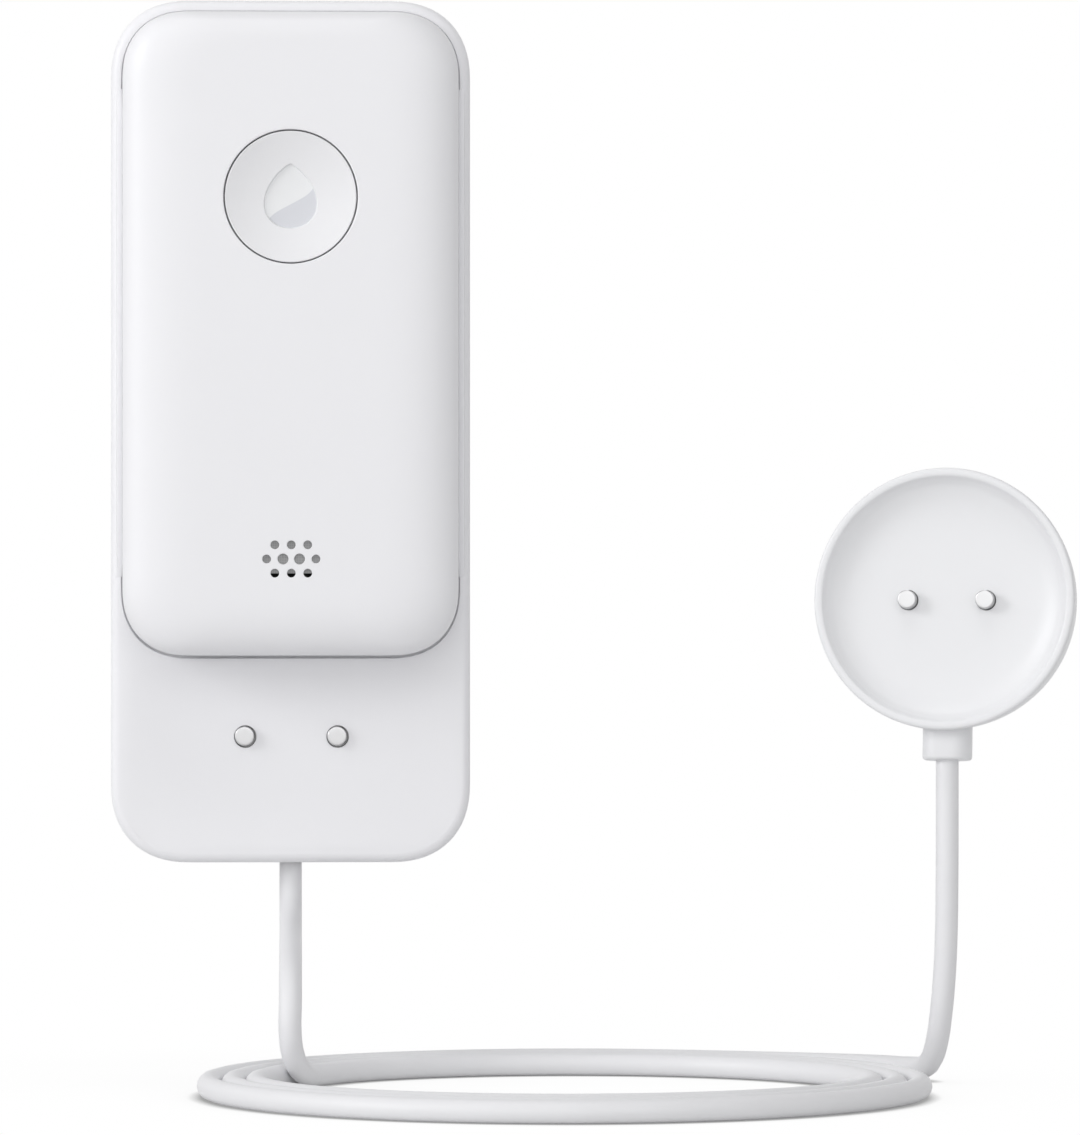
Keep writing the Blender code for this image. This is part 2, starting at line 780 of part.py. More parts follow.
# Housing screws, put in from the back
names = ("screw_upper_left", "screw_upper_right", "screw_lower_left", "screw_lower_right")
spots = [(side * screw_x, height) for height in screw_heights for side in (-1, 1)]
head_front = counterbore_depth - contact_gap
head_back = head_front - screw_head_height
for name, (x, height) in zip(names, spots):
    profile = [
        (0, head_back + 0.0007),
        (0.0008, head_back + 0.0007),
        (0.0008, head_back),
        (screw_head_radius - 0.0002, head_back),
        (screw_head_radius, head_back + 0.0003),
        (screw_head_radius, head_front),
        (screw_radius, head_front),
        (screw_radius, cover_front - 0.0068),
        (0, cover_front - 0.0060),
    ]
    turned(name, profile, screw_steel, facing(x, height), small_round_steps)

# Grommet in the lower wall
axis = upright(0, cord_exit_depth)
top = lower_floor + 0.0008
tube_ring("cord_grommet", grommet_bore, grommet_radius, base_bottom, top, axis, dark_rubber, 24)

# Probe: local x to the right, y from the rim towards the back, z up
probe_place = (
    Matrix.Translation(probe_centre)
    @ Matrix.Rotation(-probe_turn_left, 4, "Z")
    @ Matrix.Rotation(-probe_tilt_up, 4, "X")
)


# Heights of a turned probe piece are distances behind the plane of its rim
def probe_axis(x, z):
    return probe_place @ Matrix.Translation((x, 0, z)) @ Matrix.Rotation(-math.pi / 2, 4, "X")


# A box in the probe's own frame
def probe_block(name, x, y, z, material=None, flare=0.0):
    low = [(x[0], y[0], z[0]), (x[1], y[0], z[0]), (x[1], y[1], z[0]), (x[0], y[1], z[0])]
    high = [(a + math.copysign(flare, a), b, z[1]) for a, b, _ in low]
    loops = [[probe_place @ Vector(p) for p in loop] for loop in (low, high)]
    return loft(name, np.array(loops), material)


floor_back = probe_dish_depth + probe_floor
profile = [
    (0, probe_dish_depth),
    (probe_radius * 0.26, probe_dish_depth - 0.00005),
    (probe_radius * 0.49, probe_dish_depth - 0.0003),
    (probe_radius * 0.69, probe_dish_depth - 0.00075),
    (probe_radius * 0.83, probe_dish_depth - 0.0014),
    (probe_radius * 0.90, probe_dish_depth - 0.0019),
    (probe_radius - 0.0011, 0.0003),
    (probe_radius - 0.0008, 0.00005),
    (probe_radius - 0.0004, 0),
    (probe_radius - 0.0001, 0.0001),
    (probe_radius, 0.0004),
    (probe_radius - 0.0001, 0.0025),
    (probe_radius - 0.0004, 0.0055),
    (probe_radius - 0.0007, probe_depth - 0.0004),
    (probe_radius - 0.0010, probe_depth),
    (probe_seat_radius, probe_depth),
    (probe_seat_radius, probe_seat_depth),
    (probe_hollow_radius, probe_seat_depth),
    (probe_hollow_radius, floor_back),
    (0, floor_back),
]
probe_cup = turned("probe_cup", profile, probe_white, probe_axis(0, 0), 48)
for side in (-1, 1):
    axis = probe_axis(side * probe_pin_spacing / 2, 0)
    radius = probe_pin_radius + pin_clearance
    cut(probe_cup, cylinder("hole", radius, probe_dish_depth - 0.001, floor_back + 0.001, axis))
spigot_level = (floor_back + probe_seat_depth) / 2
slot_half = spigot_thickness / 2 + contact_gap
slot_x = spigot_width / 2 + contact_gap
slot_y = (spigot_level - slot_half, spigot_level + slot_half)
slot_z = (-probe_radius - 0.001, -probe_hollow_radius + 0.0015)
cut(probe_cup, probe_block("slot", (-slot_x, slot_x), slot_y, slot_z))

# Probe: contact pins, board, seal and back
board_level = floor_back + 0.0009
for name, side in (("left", -1), ("right", 1)):
    axis = probe_axis(side * probe_pin_spacing / 2, 0)
    top = probe_dish_depth - pin_stand
    profile = [
        (0, top),
        (probe_pin_radius - 0.0002, top),
        (probe_pin_radius, top + 0.0002),
        (probe_pin_radius, floor_back + contact_gap),
        (0.0020, floor_back + contact_gap),
        (0.0020, board_level - contact_gap),
        (0, board_level - contact_gap),
    ]
    turned("probe_pin_" + name, profile, steel, axis, 20)
axis = probe_axis(0, 0)
board_radius = probe_hollow_radius - probe_board_clearance
board_end = board_level + probe_board_thickness
cylinder("probe_board", board_radius, board_level, board_end, axis, board_green, round_steps)
plate_radius = probe_seat_radius - contact_gap
seal_start = probe_seat_depth + contact_gap
seal_end = seal_start + probe_seal_thickness
inner = probe_hollow_radius + contact_gap
tube_ring("probe_seal", inner, plate_radius, seal_start, seal_end, axis, dark_rubber)
profile = [
    (0, seal_end + contact_gap),
    (plate_radius, seal_end + contact_gap),
    (plate_radius, probe_depth - 0.0002),
    (plate_radius - 0.0002, probe_depth),
    (0, probe_depth),
]
turned("probe_back", profile, probe_white, axis, 40)


# Probe: collar with rounded corners, hollowed to the curve of the cup and with a flat spigot
# that reaches through the cup's wall
def collar_loop(level, inset):
    half_x = collar_width / 2 - inset
    half_y = collar_thickness / 2 - inset
    radius = 0.0017 - inset * 0.5
    loop = []
    for sx, sy, start in ((1, 1, 0), (-1, 1, 90), (-1, -1, 180), (1, -1, 270)):
        for step in range(5):
            angle = math.radians(start + step * 22.5)
            x = sx * (half_x - radius) + radius * math.cos(angle)
            y = spigot_level + sy * (half_y - radius) + radius * math.sin(angle)
            loop.append(probe_place @ Vector((x, y, level)))
    return np.array(loop)


loops = [
    collar_loop(-collar_reach, 0.0005),
    collar_loop(-collar_reach + 0.0002, 0.0002),
    collar_loop(-collar_reach + 0.0005, 0),
    collar_loop(-probe_radius + 0.0022, 0),
]
collar = loft("probe_collar", loops, probe_white)
trim = cylinder("trim", probe_radius + contact_gap, -0.001, probe_depth + 0.001, probe_axis(0, 0), None, 48)
cut(collar, trim)
spigot_x = (-spigot_width / 2, spigot_width / 2)
spigot_y = (spigot_level - spigot_thickness / 2, spigot_level + spigot_thickness / 2)
spigot_z = (-probe_radius - 0.0008, -probe_hollow_radius + 0.0006)
join(collar, probe_block("spigot", spigot_x, spigot_y, spigot_z))

# Cord: one tube down to the coil, the coil as one ring, and one tube up to the probe's collar.
# The first comes forward over the outer turns of the coil and ends above the innermost turn.
radius = cord_diameter / 2
coil_top = floor_height + cord_diameter
exit_point = Vector((0, -cord_exit_depth, base_bottom - contact_gap))
turn_radius = coil_inner_radius + radius
start_x = coil_x + turn_radius * math.cos(coil_start_angle)
start_y = coil_y + turn_radius * math.sin(coil_start_angle)
drop_way = Vector((start_x, start_y, coil_top + contact_gap)) - exit_point
drop_forward = (0, 0.012, 0.075, 0.24, 0.5, 0.76, 0.93, 0.99, 1)
drop_down = (0, 0.13, 0.27, 0.38, 0.45, 0.53, 0.67, 0.83, 1)
drop_route = []
for forward, down in zip(drop_forward, drop_down):
    spot = Vector((drop_way.x * down**3, drop_way.y * forward, drop_way.z * down))
    drop_route.append(exit_point + spot)
tube("cord_drop", smooth_line(drop_route, 22), radius, cord_white)

ring_edge = []
for angle in np.radians(np.linspace(-90, 90, 5)):
    spot = (coil_outer_radius - radius + radius * math.cos(angle), radius * math.sin(angle) + radius)
    ring_edge.append(spot)
for angle in np.radians(np.linspace(90, 270, 5)):
    spot = (coil_inner_radius + radius + radius * math.cos(angle), radius * math.sin(angle) + radius)
    ring_edge.append(spot)
place = Matrix.Translation((coil_x, coil_y, floor_height))
turned("cord_coil", ring_edge, cord_white, place, 60)

# The second starts beside the coil and turns up to the collar. Each spot of its route is a share
# of the way to the collar, in x and y from the foot and in height.
collar_end = probe_place @ Vector((0, spigot_level, -collar_reach - contact_gap))
foot = Vector((coil_foot_x, coil_y + coil_clear * math.sin(coil_foot_angle), floor_height + radius + 0.0001))
rise_way = collar_end - foot
rise_across = (0, 0.33, 0.62, 0.81, 0.93, 1)
rise_back = (0, 0.28, 0.6, 0.8, 0.95, 1.05)
rise_up = (0, 0.035, 0.14, 0.29, 0.5, 0.76)
rise_route = []
for across, back, up in zip(rise_across, rise_back, rise_up):
    rise_route.append(foot + Vector((rise_way.x * across, rise_way.y * back, rise_way.z * up)))
rise_route.append(collar_end)
tube("cord_rise", smooth_line(rise_route, 18), radius, cord_white)
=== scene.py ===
import math

import bmesh
import bpy
import numpy as np
from mathutils import Matrix, Vector


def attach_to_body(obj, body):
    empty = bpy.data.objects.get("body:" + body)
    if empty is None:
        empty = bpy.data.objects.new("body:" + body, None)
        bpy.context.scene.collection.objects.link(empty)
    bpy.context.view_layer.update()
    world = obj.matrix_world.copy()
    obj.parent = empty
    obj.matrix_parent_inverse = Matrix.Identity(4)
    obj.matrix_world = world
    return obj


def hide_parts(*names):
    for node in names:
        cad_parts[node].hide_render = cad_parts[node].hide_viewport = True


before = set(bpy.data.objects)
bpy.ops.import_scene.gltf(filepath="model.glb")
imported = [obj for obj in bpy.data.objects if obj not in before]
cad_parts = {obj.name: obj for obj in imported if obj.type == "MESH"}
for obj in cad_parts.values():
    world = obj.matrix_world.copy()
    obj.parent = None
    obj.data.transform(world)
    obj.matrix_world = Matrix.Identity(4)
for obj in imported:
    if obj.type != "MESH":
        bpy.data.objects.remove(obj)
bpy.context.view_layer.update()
print("frame loaded:", len(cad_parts), "nodes")

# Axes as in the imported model: the wall is y = 0, the button faces -y, +z is up. A depth is the
# distance in front of the wall, so it is -y. Every length is kept in metres.
mm = 0.001


# A dictionary of lengths that are given in millimetres
def inMetres(**lengths):
    return {name: length * mm for name, length in lengths.items()}


# mesh helpers


# Quads of a grid of points in row order; wrap joins the last column to the first
def gridQuads(rows, columns, wrap=False):
    index = np.arange(rows * columns).reshape(rows, columns)
    if wrap:
        index = np.concatenate([index, index[:, :1]], axis=1)
    corners = [index[:-1, :-1], index[:-1, 1:], index[1:, 1:], index[1:, :-1]]
    return np.stack([c.ravel() for c in corners], axis=1)


# One mesh from sheets of (points, quads): sheets that share an edge are welded along it
def buildPiece(name, sheets, material=None, sharpAngle=38):
    points = np.concatenate([np.asarray(p, float).reshape(-1, 3) for p, _ in sheets])
    starts = np.cumsum([0] + [len(np.asarray(p).reshape(-1, 3)) for p, _ in sheets])
    quads = np.concatenate([q + start for (_, q), start in zip(sheets, starts)])
    mesh = bpy.data.meshes.new(name)
    mesh.vertices.add(len(points))
    mesh.vertices.foreach_set("co", points.astype(np.float32).ravel())
    mesh.loops.add(quads.size)
    mesh.loops.foreach_set("vertex_index", quads.astype(np.int32).ravel())
    mesh.polygons.add(len(quads))
    mesh.polygons.foreach_set("loop_start", np.arange(0, quads.size, 4, dtype=np.int32))
    mesh.update(calc_edges=True)
    mesh.validate()
    shape = bmesh.new()
    shape.from_mesh(mesh)
    bmesh.ops.remove_doubles(shape, verts=shape.verts, dist=1e-6)
    bmesh.ops.recalc_face_normals(shape, faces=shape.faces)
    shape.to_mesh(mesh)
    shape.free()
    piece = bpy.data.objects.new(name, mesh)
    bpy.context.scene.collection.objects.link(piece)
    smooth(piece, sharpAngle)
    if material:
        mesh.materials.append(material)
    return piece


# Smooth shading, apart from edges that turn by more than the angle
def smooth(piece, sharpAngle):
    piece.data.shade_smooth()
    piece.data.set_sharp_from_angle(angle=math.radians(sharpAngle))


# A profile of (radius, height) turned about local z, then placed. Both ends on the axis close it
def turnedSheet(profile, place=Matrix(), steps=96):
    profile = np.array(profile, float)
    angle = np.linspace(0, 2 * math.pi, steps, endpoint=False)
    x = profile[:, :1] * np.cos(angle)
    y = profile[:, :1] * np.sin(angle)
    z = np.repeat(profile[:, 1:], steps, axis=1)
    points = placed(np.stack([x, y, z], axis=2).reshape(-1, 3), place)
    return points, gridQuads(len(profile), steps, wrap=True)


# Points moved by a 4 by 4 matrix
def placed(points, place):
    matrix = np.array(place)
    return points @ matrix[:3, :3].T + matrix[:3, 3]


# A profile with its corners rounded, each by a quadratic curve that starts and ends its third
# number before and after the corner
def roundedProfile(corners, steps=5):
    points = [corners[0][:2]]
    for before, corner, after in zip(corners, corners[1:], corners[2:]):
        reach = corner[2] if len(corner) > 2 else 0
        here = np.array(corner[:2], float)
        if reach == 0:
            points.append(tuple(here))
            continue
        back = np.array(before[:2], float) - here
        ahead = np.array(after[:2], float) - here
        start = here + back / np.linalg.norm(back) * reach
        end = here + ahead / np.linalg.norm(ahead) * reach
        for t in np.linspace(0, 1, steps + 1):
            points.append(tuple(start * (1 - t) ** 2 + 2 * here * t * (1 - t) + end * t**2))
    points.append(corners[-1][:2])
    return points


# Place of a turned piece that faces forward at x and z: its heights are depths in front of the wall
def facing(x, z):
    return Matrix.Translation((x, 0, z)) @ Matrix.Rotation(math.pi / 2, 4, "X")


# Cuts the closed form of some sheets out of a piece, or joins it on, as a Boolean applied at once
def carve(piece, sheets, operation="DIFFERENCE", sharpAngle=38):
    tool = buildPiece("tool", sheets)
    step = piece.modifiers.new("carve", "BOOLEAN")
    step.operation = operation
    step.solver = "EXACT"
    step.object = tool
    bpy.context.view_layer.update()
    graph = bpy.context.evaluated_depsgraph_get()
    mesh = bpy.data.meshes.new_from_object(piece.evaluated_get(graph))
    piece.modifiers.clear()
    materials = list(piece.data.materials)
    piece.data = mesh
    shape = bmesh.new()
    shape.from_mesh(mesh)
    bmesh.ops.remove_doubles(shape, verts=shape.verts, dist=1e-6)
    bmesh.ops.dissolve_degenerate(shape, edges=shape.edges, dist=1e-6)
    shape.to_mesh(mesh)
    shape.free()
    mesh.materials.clear()
    for material in materials:
        mesh.materials.append(material)
    smooth(piece, sharpAngle)
    bpy.data.objects.remove(tool, do_unlink=True)


# Says what a new piece rides on and hides the CAD nodes it stands for; the slot is not used
def attach(piece, body, slot, *nodes):
    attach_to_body(piece, body)
    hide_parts(*nodes)


# rounded rectangles

# Outlines are drawn closely where they show, and coarsely for the hollows behind
fineOutline = {"cornerSteps": 16, "columns": 65, "straightRows": 110}
coarseOutline = {"cornerSteps": 8, "columns": 5, "straightRows": 4}
outlineShape = {"exponent": 2.3, **fineOutline}


# Half-width and height of each row of a rounded rectangle, from the bottom to the top. The corners
# are quarter superellipses, and between them the width stays the same.
def outlineRows(half, low, high, corner):
    power = 2 / outlineShape["exponent"]
    angle = np.linspace(0, math.pi / 2, outlineShape["cornerSteps"] + 1)
    width = half - corner + corner * np.sin(angle) ** power
    lift = corner - corner * np.cos(angle) ** power
    straight = np.linspace(low + corner, high - corner, outlineShape["straightRows"] + 1)[1:-1]
    widths = np.concatenate([width, np.full(len(straight), half), width[::-1]])
    heights = np.concatenate([low + lift, straight, high - lift[::-1]])
    return widths, heights


# The face of a rounded rectangle as a grid: each row is spread evenly across its own width
def faceGrid(half, low, high, corner, depth):
    widths, heights = outlineRows(half, low, high, corner)
    across = np.linspace(-1, 1, outlineShape["columns"])
    x = widths[:, None] * across
    z = np.repeat(heights[:, None], len(across), axis=1)
    return np.stack([x, np.full_like(x, -depth), z], axis=2)


# The same rounded rectangle as one closed ring, in step with the edge of faceGrid
def outlineRing(half, low, high, corner, depth):
    widths, heights = outlineRows(half, low, high, corner)
    across = np.linspace(-1, 1, outlineShape["columns"])[1:-1]
    bottom = np.stack([widths[0] * across, np.full_like(across, heights[0])], axis=1)
    right = np.stack([widths, heights], axis=1)
    top = np.stack([widths[-1] * across[::-1], np.full_like(across, heights[-1])], axis=1)
    left = np.stack([-widths[::-1], heights[::-1]], axis=1)
    flat = np.concatenate([bottom, right, top, left])
    return np.stack([flat[:, 0], np.full(len(flat), -depth), flat[:, 1]], axis=1)


# A sheet of closed rings, one row each
def ringSheet(rings):
    points = np.stack(rings)
    return points, gridQuads(len(rings), points.shape[1], wrap=True)


# A sheet of one open grid
def faceSheet(points):
    return points, gridQuads(points.shape[0], points.shape[1])


# materials


# A new material with its nodes, links and shader
def startMaterial(name):
    material = bpy.data.materials.new(name)
    material.use_nodes = True
    nodes = material.node_tree.nodes
    return material, nodes, material.node_tree.links, nodes["Principled BSDF"]


# A node with its settings, each by the name of an attribute or of an input
def addNode(nodes, kind, **values):
    node = nodes.new(kind)
    for key, value in values.items():
        if hasattr(node, key):
            setattr(node, key, value)
        else:
            node.inputs[key].default_value = value
    return node


# Noise in Object coordinates
def addNoise(nodes, links, **values):
    coordinates = nodes.new("ShaderNodeTexCoord")
    noise = addNode(nodes, "ShaderNodeTexNoise", **values)
    links.new(coordinates.outputs["Object"], noise.inputs["Vector"])
    return noise.outputs["Fac"]


# A bump of the given strength, and depth in metres, from a texture's value
def addBump(nodes, links, value, strength, depth):
    bump = addNode(nodes, "ShaderNodeBump", Strength=strength, Distance=depth)
    links.new(value, bump.inputs["Height"])
    links.new(bump.outputs["Normal"], nodes["Principled BSDF"].inputs["Normal"])


# Roughness that goes with a texture's value, by roughnessVary to each side
def varyRoughness(nodes, links, value, look):
    rough = nodes.new("ShaderNodeMapRange")
    rough.inputs["To Min"].default_value = look["roughness"] - look["roughnessVary"]
    rough.inputs["To Max"].default_value = look["roughness"] + look["roughnessVary"]
    links.new(value, rough.inputs["Value"])
    links.new(rough.outputs["Result"], nodes["Principled BSDF"].inputs["Roughness"])


# Base colour from low to high with a texture's value
def varyColour(nodes, links, value, low, high):
    tint = nodes.new("ShaderNodeValToRGB")
    tint.color_ramp.elements[0].color = (*low, 1)
    tint.color_ramp.elements[1].color = (*high, 1)
    links.new(value, tint.inputs["Fac"])
    links.new(tint.outputs["Color"], nodes["Principled BSDF"].inputs["Base Color"])


# Moulded plastic: a fine spark-eroded grain as bump, roughness that varies a little over some
# millimetres, and a very weak cloudiness in the colour
def mouldedPlastic(name, look):
    material, nodes, links, shader = startMaterial(name)
    grain = addNoise(nodes, links, Scale=look["grainScale"], Detail=2.0, Roughness=0.5)
    cloud = addNoise(nodes, links, Scale=look["cloudScale"], Detail=3.0, Roughness=0.55)
    addBump(nodes, links, grain, look["grainStrength"], look["grainDepth"])
    varyRoughness(nodes, links, cloud, look)
    low = np.array(look["colour"]) * (1 - look["colourVary"])
    varyColour(nodes, links, cloud, low, look["colour"])
    shader.inputs["IOR"].default_value = look["ior"]
    return material


# Metal with a satin skin: one noise as bump and in the roughness
def satinMetal(name, look):
    material, nodes, links, shader = startMaterial(name)
    marks = addNoise(nodes, links, Scale=look["grainScale"], Detail=3.0)
    addBump(nodes, links, marks, look["grainStrength"], look["grainDepth"])
    varyRoughness(nodes, links, marks, look)
    shader.inputs["Base Color"].default_value = (*look["colour"], 1)
    shader.inputs["Metallic"].default_value = 1.0
    return material


whiteLook = {
    "colour": (0.858, 0.857, 0.880),
    "colourVary": 0.012,
    "roughness": 0.42,
    "roughnessVary": 0.03,
    "grainScale": 5200.0,
    "grainStrength": 0.12,
    "grainDepth": 0.000012,
    "cloudScale": 90.0,
    "ior": 1.46,
}
whitePlastic = mouldedPlastic("whitePlastic", whiteLook)
# The probe's white is a touch darker than the housing's. This is painted shade that offsets the extra key
# light on the probe's face, which is turned toward the lamp.
probeLook = {**whiteLook, "colour": (0.825, 0.828, 0.845), "roughness": 0.38}
probePlastic = mouldedPlastic("probePlastic", probeLook)
jacketLook = {
    **whiteLook,
    "colour": (0.812, 0.812, 0.83),
    "roughness": 0.48,
    "grainScale": 3800.0,
    "grainStrength": 0.18,
    "cloudScale": 140.0,
}
cordJacket = mouldedPlastic("cordJacket", jacketLook)
pinLook = {
    "colour": (0.525, 0.525, 0.53),
    "roughness": 0.36,
    "roughnessVary": 0.05,
    "grainScale": 6000.0,
    "grainStrength": 0.2,
    "grainDepth": 0.00001,
}
pinMetal = satinMetal("pinMetal", pinLook)


# Woven gauze: two sets of threads at right angles, as waves along x and z, stand as bump and darken
# the colour between them, which is painted shade in the hollows and gaps of the weave
def wovenGauze(name, look):
    material, nodes, links, shader = startMaterial(name)
    coordinates = nodes.new("ShaderNodeTexCoord")
    waves = []
    for direction in ("X", "Z"):
        wave = addNode(nodes, "ShaderNodeTexWave", bands_direction=direction, Scale=look["threads"])
        links.new(coordinates.outputs["Object"], wave.inputs["Vector"])
        waves.append(wave)
    weave = addNode(nodes, "ShaderNodeMath", operation="MAXIMUM")
    for slot, wave in enumerate(waves):
        links.new(wave.outputs["Fac"], weave.inputs[slot])
    addBump(nodes, links, weave.outputs["Value"], look["bumpStrength"], look["bumpDepth"])
    varyColour(nodes, links, weave.outputs["Value"], look["between"], look["thread"])
    shader.inputs["Roughness"].default_value = look["roughness"]
    return material


nickelLook = {**pinLook, "colour": (0.62, 0.61, 0.58), "roughness": 0.3, "grainScale": 3000.0}
nickel = satinMetal("nickel", nickelLook)
zincSteel = satinMetal("zincSteel", {**nickelLook, "colour": (0.55, 0.56, 0.57), "roughness": 0.35})
gauzeLook = {
    "threads": 1400.0,
    "thread": (0.5, 0.5, 0.5),
    # between is the painted shade of the gaps between the threads
    "between": (0.28, 0.28, 0.28),
    "bumpStrength": 0.5,
    "bumpDepth": 0.00003,
    "roughness": 0.8,
}
gauzeWeave = wovenGauze("gauzeWeave", gauzeLook)
print("materials made")


# camera and cord

# The camera is level, a little below the housing's middle, and turned a little to the right
view = {
    "distance": 0.990,
    "height": -0.01817,
    "focalPixels": 7331.4,
    "aside": 249.35,
    "pixelsHigh": 1135,
    "sensor": 36,
    "nearest": 0.01,
}
cameraData = bpy.data.cameras.new("camera")
cameraData.sensor_width = view["sensor"]
cameraData.lens = view["focalPixels"] / view["pixelsHigh"] * view["sensor"]
cameraData.clip_start = view["nearest"]
camera = bpy.data.objects.new("camera", cameraData)
camera.location = (0, -view["distance"], view["height"])
camera.rotation_euler = (math.pi / 2, 0, -math.atan2(view["aside"], view["focalPixels"]))
bpy.context.scene.collection.objects.link(camera)
bpy.context.scene.camera = camera

cordShape = {
    "diameter": 3.0 * mm,
    "exit": (0, -4.3 * mm, -57.9 * mm),
    "floor": -86.0 * mm,
    "centre": (35.84 * mm, -49.6 * mm),
    "startAngle": 152.0,
    "startRadius": 37.44 * mm,
    "pitch": 3.05 * mm,
    "turns": 3 + 84 / 360,
    "frontSpread": 2.0 * mm,
    "hookRadius": 6.1 * mm,
    "collarEnd": (86.06 * mm, -30.9 * mm, -43.3 * mm),
    "inside": 1.6 * mm,
    "shiftStart": 602,
    "knotsPerTurn": 26,
    "headingSteps": 20000,
}


# The coil: the radius grows evenly with the angle, clockwise from above. In front each turn is laid
# a little further out than the one inside it: by frontSpread for each turn past shiftStart degrees,
# times the square of a share that goes from 0 at the back to 1 at the front.
def coilLine(count):
    c = cordShape
    travel = np.linspace(0, c["turns"] * 360, count)
    angle = np.radians(c["startAngle"] - travel)
    radius = c["startRadius"] + c["pitch"] * travel / 360
    front = ((1 - np.sin(angle)) / 2) ** 2
    shift = front * c["frontSpread"] * (travel - c["shiftStart"]) / 360
    x = c["centre"][0] + radius * np.cos(angle)
    y = c["centre"][1] + radius * np.sin(angle) - shift
    z = np.full(count, c["floor"] + c["diameter"] / 2)
    return np.stack([x, y, z], axis=1)


# The way down: out of the housing, forward over the outer turns, down in front of them, and round
# a quarter circle on to the start of the coil. The points forward and down are shares of the whole
# way, and the share sideways is the cube of the one down.
def dropLine(start, heading):
    c = cordShape
    low = c["floor"] + c["diameter"] / 2
    foot = start - heading * c["hookRadius"]
    exitPoint = np.array(c["exit"])
    way = np.array([foot[0], foot[1], low + c["hookRadius"]]) - exitPoint
    forward = np.array([0, 0.003, 0.03, 0.12, 0.29, 0.5, 0.71, 0.88, 0.975])
    down = np.array([0, 0.15, 0.29, 0.40, 0.475, 0.53, 0.59, 0.68, 0.83])
    upper = exitPoint + np.stack([way[0] * down**3, way[1] * forward, way[2] * down], axis=1)
    turn = np.radians([0, 28, 56, 80])
    above = exitPoint + np.array([[0, 0, c["inside"]]])
    along = c["hookRadius"] * (1 - np.cos(turn))
    height = low + c["hookRadius"] * (1 - np.sin(turn))
    hook = np.stack([foot[0] + heading[0] * along, foot[1] + heading[1] * along, height], axis=1)
    return np.concatenate([above, upper, hook])


# The way up: the last turn swings outward, bends up, and leans slowly to the probe's collar
def riseLine():
    swing = [[62.7, -9.2, -84.5], [71.2, -12.9, -84.5], [78.0, -16.6, -84.5], [81.9, -20.2, -84.5]]
    bend = [[83.5, -23.7, -84.15], [84.3, -26.9, -82.9], [84.85, -29.5, -80.3], [85.2, -30.9, -77.0]]
    lean = [[85.6, -31.6, -72.0], [85.85, -31.85, -66.0], [85.95, -31.8, -59.0], [86.0, -31.5, -52.0]]
    return np.concatenate([np.array(swing + bend + lean) * mm, [cordShape["collarEnd"]]])


coilPoints = coilLine(round(cordShape["turns"] * cordShape["knotsPerTurn"]) + 1)
fineCoil = coilLine(cordShape["headingSteps"])
firstHeading = fineCoil[1] - fineCoil[0]
firstHeading /= np.linalg.norm(firstHeading)
route = np.concatenate([dropLine(coilPoints[0], firstHeading), coilPoints, riseLine()])

cordCurve = bpy.data.curves.new("signalCord", "CURVE")
cordCurve.dimensions = "3D"
cordCurve.bevel_depth = cordShape["diameter"] / 2
cordCurve.bevel_resolution = 6
cordCurve.resolution_u = 8
cordCurve.use_fill_caps = True
spline = cordCurve.splines.new("BEZIER")
spline.bezier_points.add(len(route) - 1)
spline.bezier_points.foreach_set("co", route.ravel())
for knot in spline.bezier_points:
    knot.handle_left_type = "AUTO"
    knot.handle_right_type = "AUTO"
cordCurve.materials.append(cordJacket)
signalCord = bpy.data.objects.new("signalCord", cordCurve)
bpy.context.scene.collection.objects.link(signalCord)
attach(signalCord, "unit", "cord_jacket", "cord_drop", "cord_coil", "cord_rise")


# rear housing

# The seam and the rails of the housing follow the cover, so the cover's sizes come first. A cutter
# reaches past what it cuts by cutterPast.
cover = inMetres(
    half=22.3,
    low=-29.85,
    high=55.58,
    front=22.0,
    rim=10.3,
    corner=9.0,
    wall=1.8,
    rollSide=11.2,
    rollLow=8.6,
    rollHigh=4.2,
    rollDepth=5.8,
    insideFlat=0.8,
    lip=0.12,
    buttonHeight=30.8,
    buttonHole=8.87,
    buttonBevel=0.16,
    holeHeight=-17.05,
    holePitch=2.17,
    holeShift=0.09,
    holeRow=1.87,
    holeRadius=0.60,
    holeRadiusMiddle=0.74,
    holeDraft=0.03,
    mouthWiden=0.04,
    mouthDepth=0.07,
    mouthPast=0.005,
    cutterPast=1,
)
cover.update(rollPower=2.9, rollSteps=22, rollStart=2.5, insideTop=0.6, cornerShrink=0.38)

screwSpots = {
    "upper_left": (-15.7 * mm, 48.4 * mm),
    "upper_right": (15.7 * mm, 48.4 * mm),
    "lower_left": (-15.7 * mm, -22.7 * mm),
    "lower_right": (15.7 * mm, -22.7 * mm),
}

housing = inMetres(
    half=24.0,
    low=-57.6,
    high=57.6,
    depth=10.0,
    corner=10.6,
    edge=1.2,
    backEdge=0.5,
    dishHalf=21.9,
    dishLow=-55.4,
    dishHigh=-31.0,
    dishDepth=1.43,
    backWall=2.0,
    hollowHalf=19.4,
    hollowLow=-26.6,
    hollowHigh=53.0,
    hollowCorner=6,
    hollowEnd=14,
    hollowOverlap=3,
    lowerFloor=-54.3,
    lowerDepth=6.7,
    pinHeight=-40.7,
    pinHole=1.5,
    pinHoleBack=5,
    pinHoleFront=12,
    pinPlaySide=0.11,
    pinPlayDown=0.077,
    bossRadius=3.4,
    bossSunk=0.5,
    bossShort=1.6,
    boreRadius=2.4,
    boreDepth=5.0,
    boreMouth=0.2,
    screwHole=1.4,
    cordHole=2.5,
    cordHoleTop=-53.0,
    cutterPast=1,
    railLow=-19.4,
    railHigh=45.7,
    railGap=0.06,
    railRamp=5.0,
    railWidth=0.9,
    railFoot=8.5,
    railShoulder=10.9,
    railBend=11.12,
    railTop=11.2,
    railDrop=1.12,
    seamSide=0.32,
    seamTop=0.63,
    seamLow=0.48,
    seamUnder=0.4,
    seamDepth=0.9,
)
housing.update(dishLowPower=2.2, dishHighPower=9, pinSpots=(-6.175 * mm, 6.175 * mm))


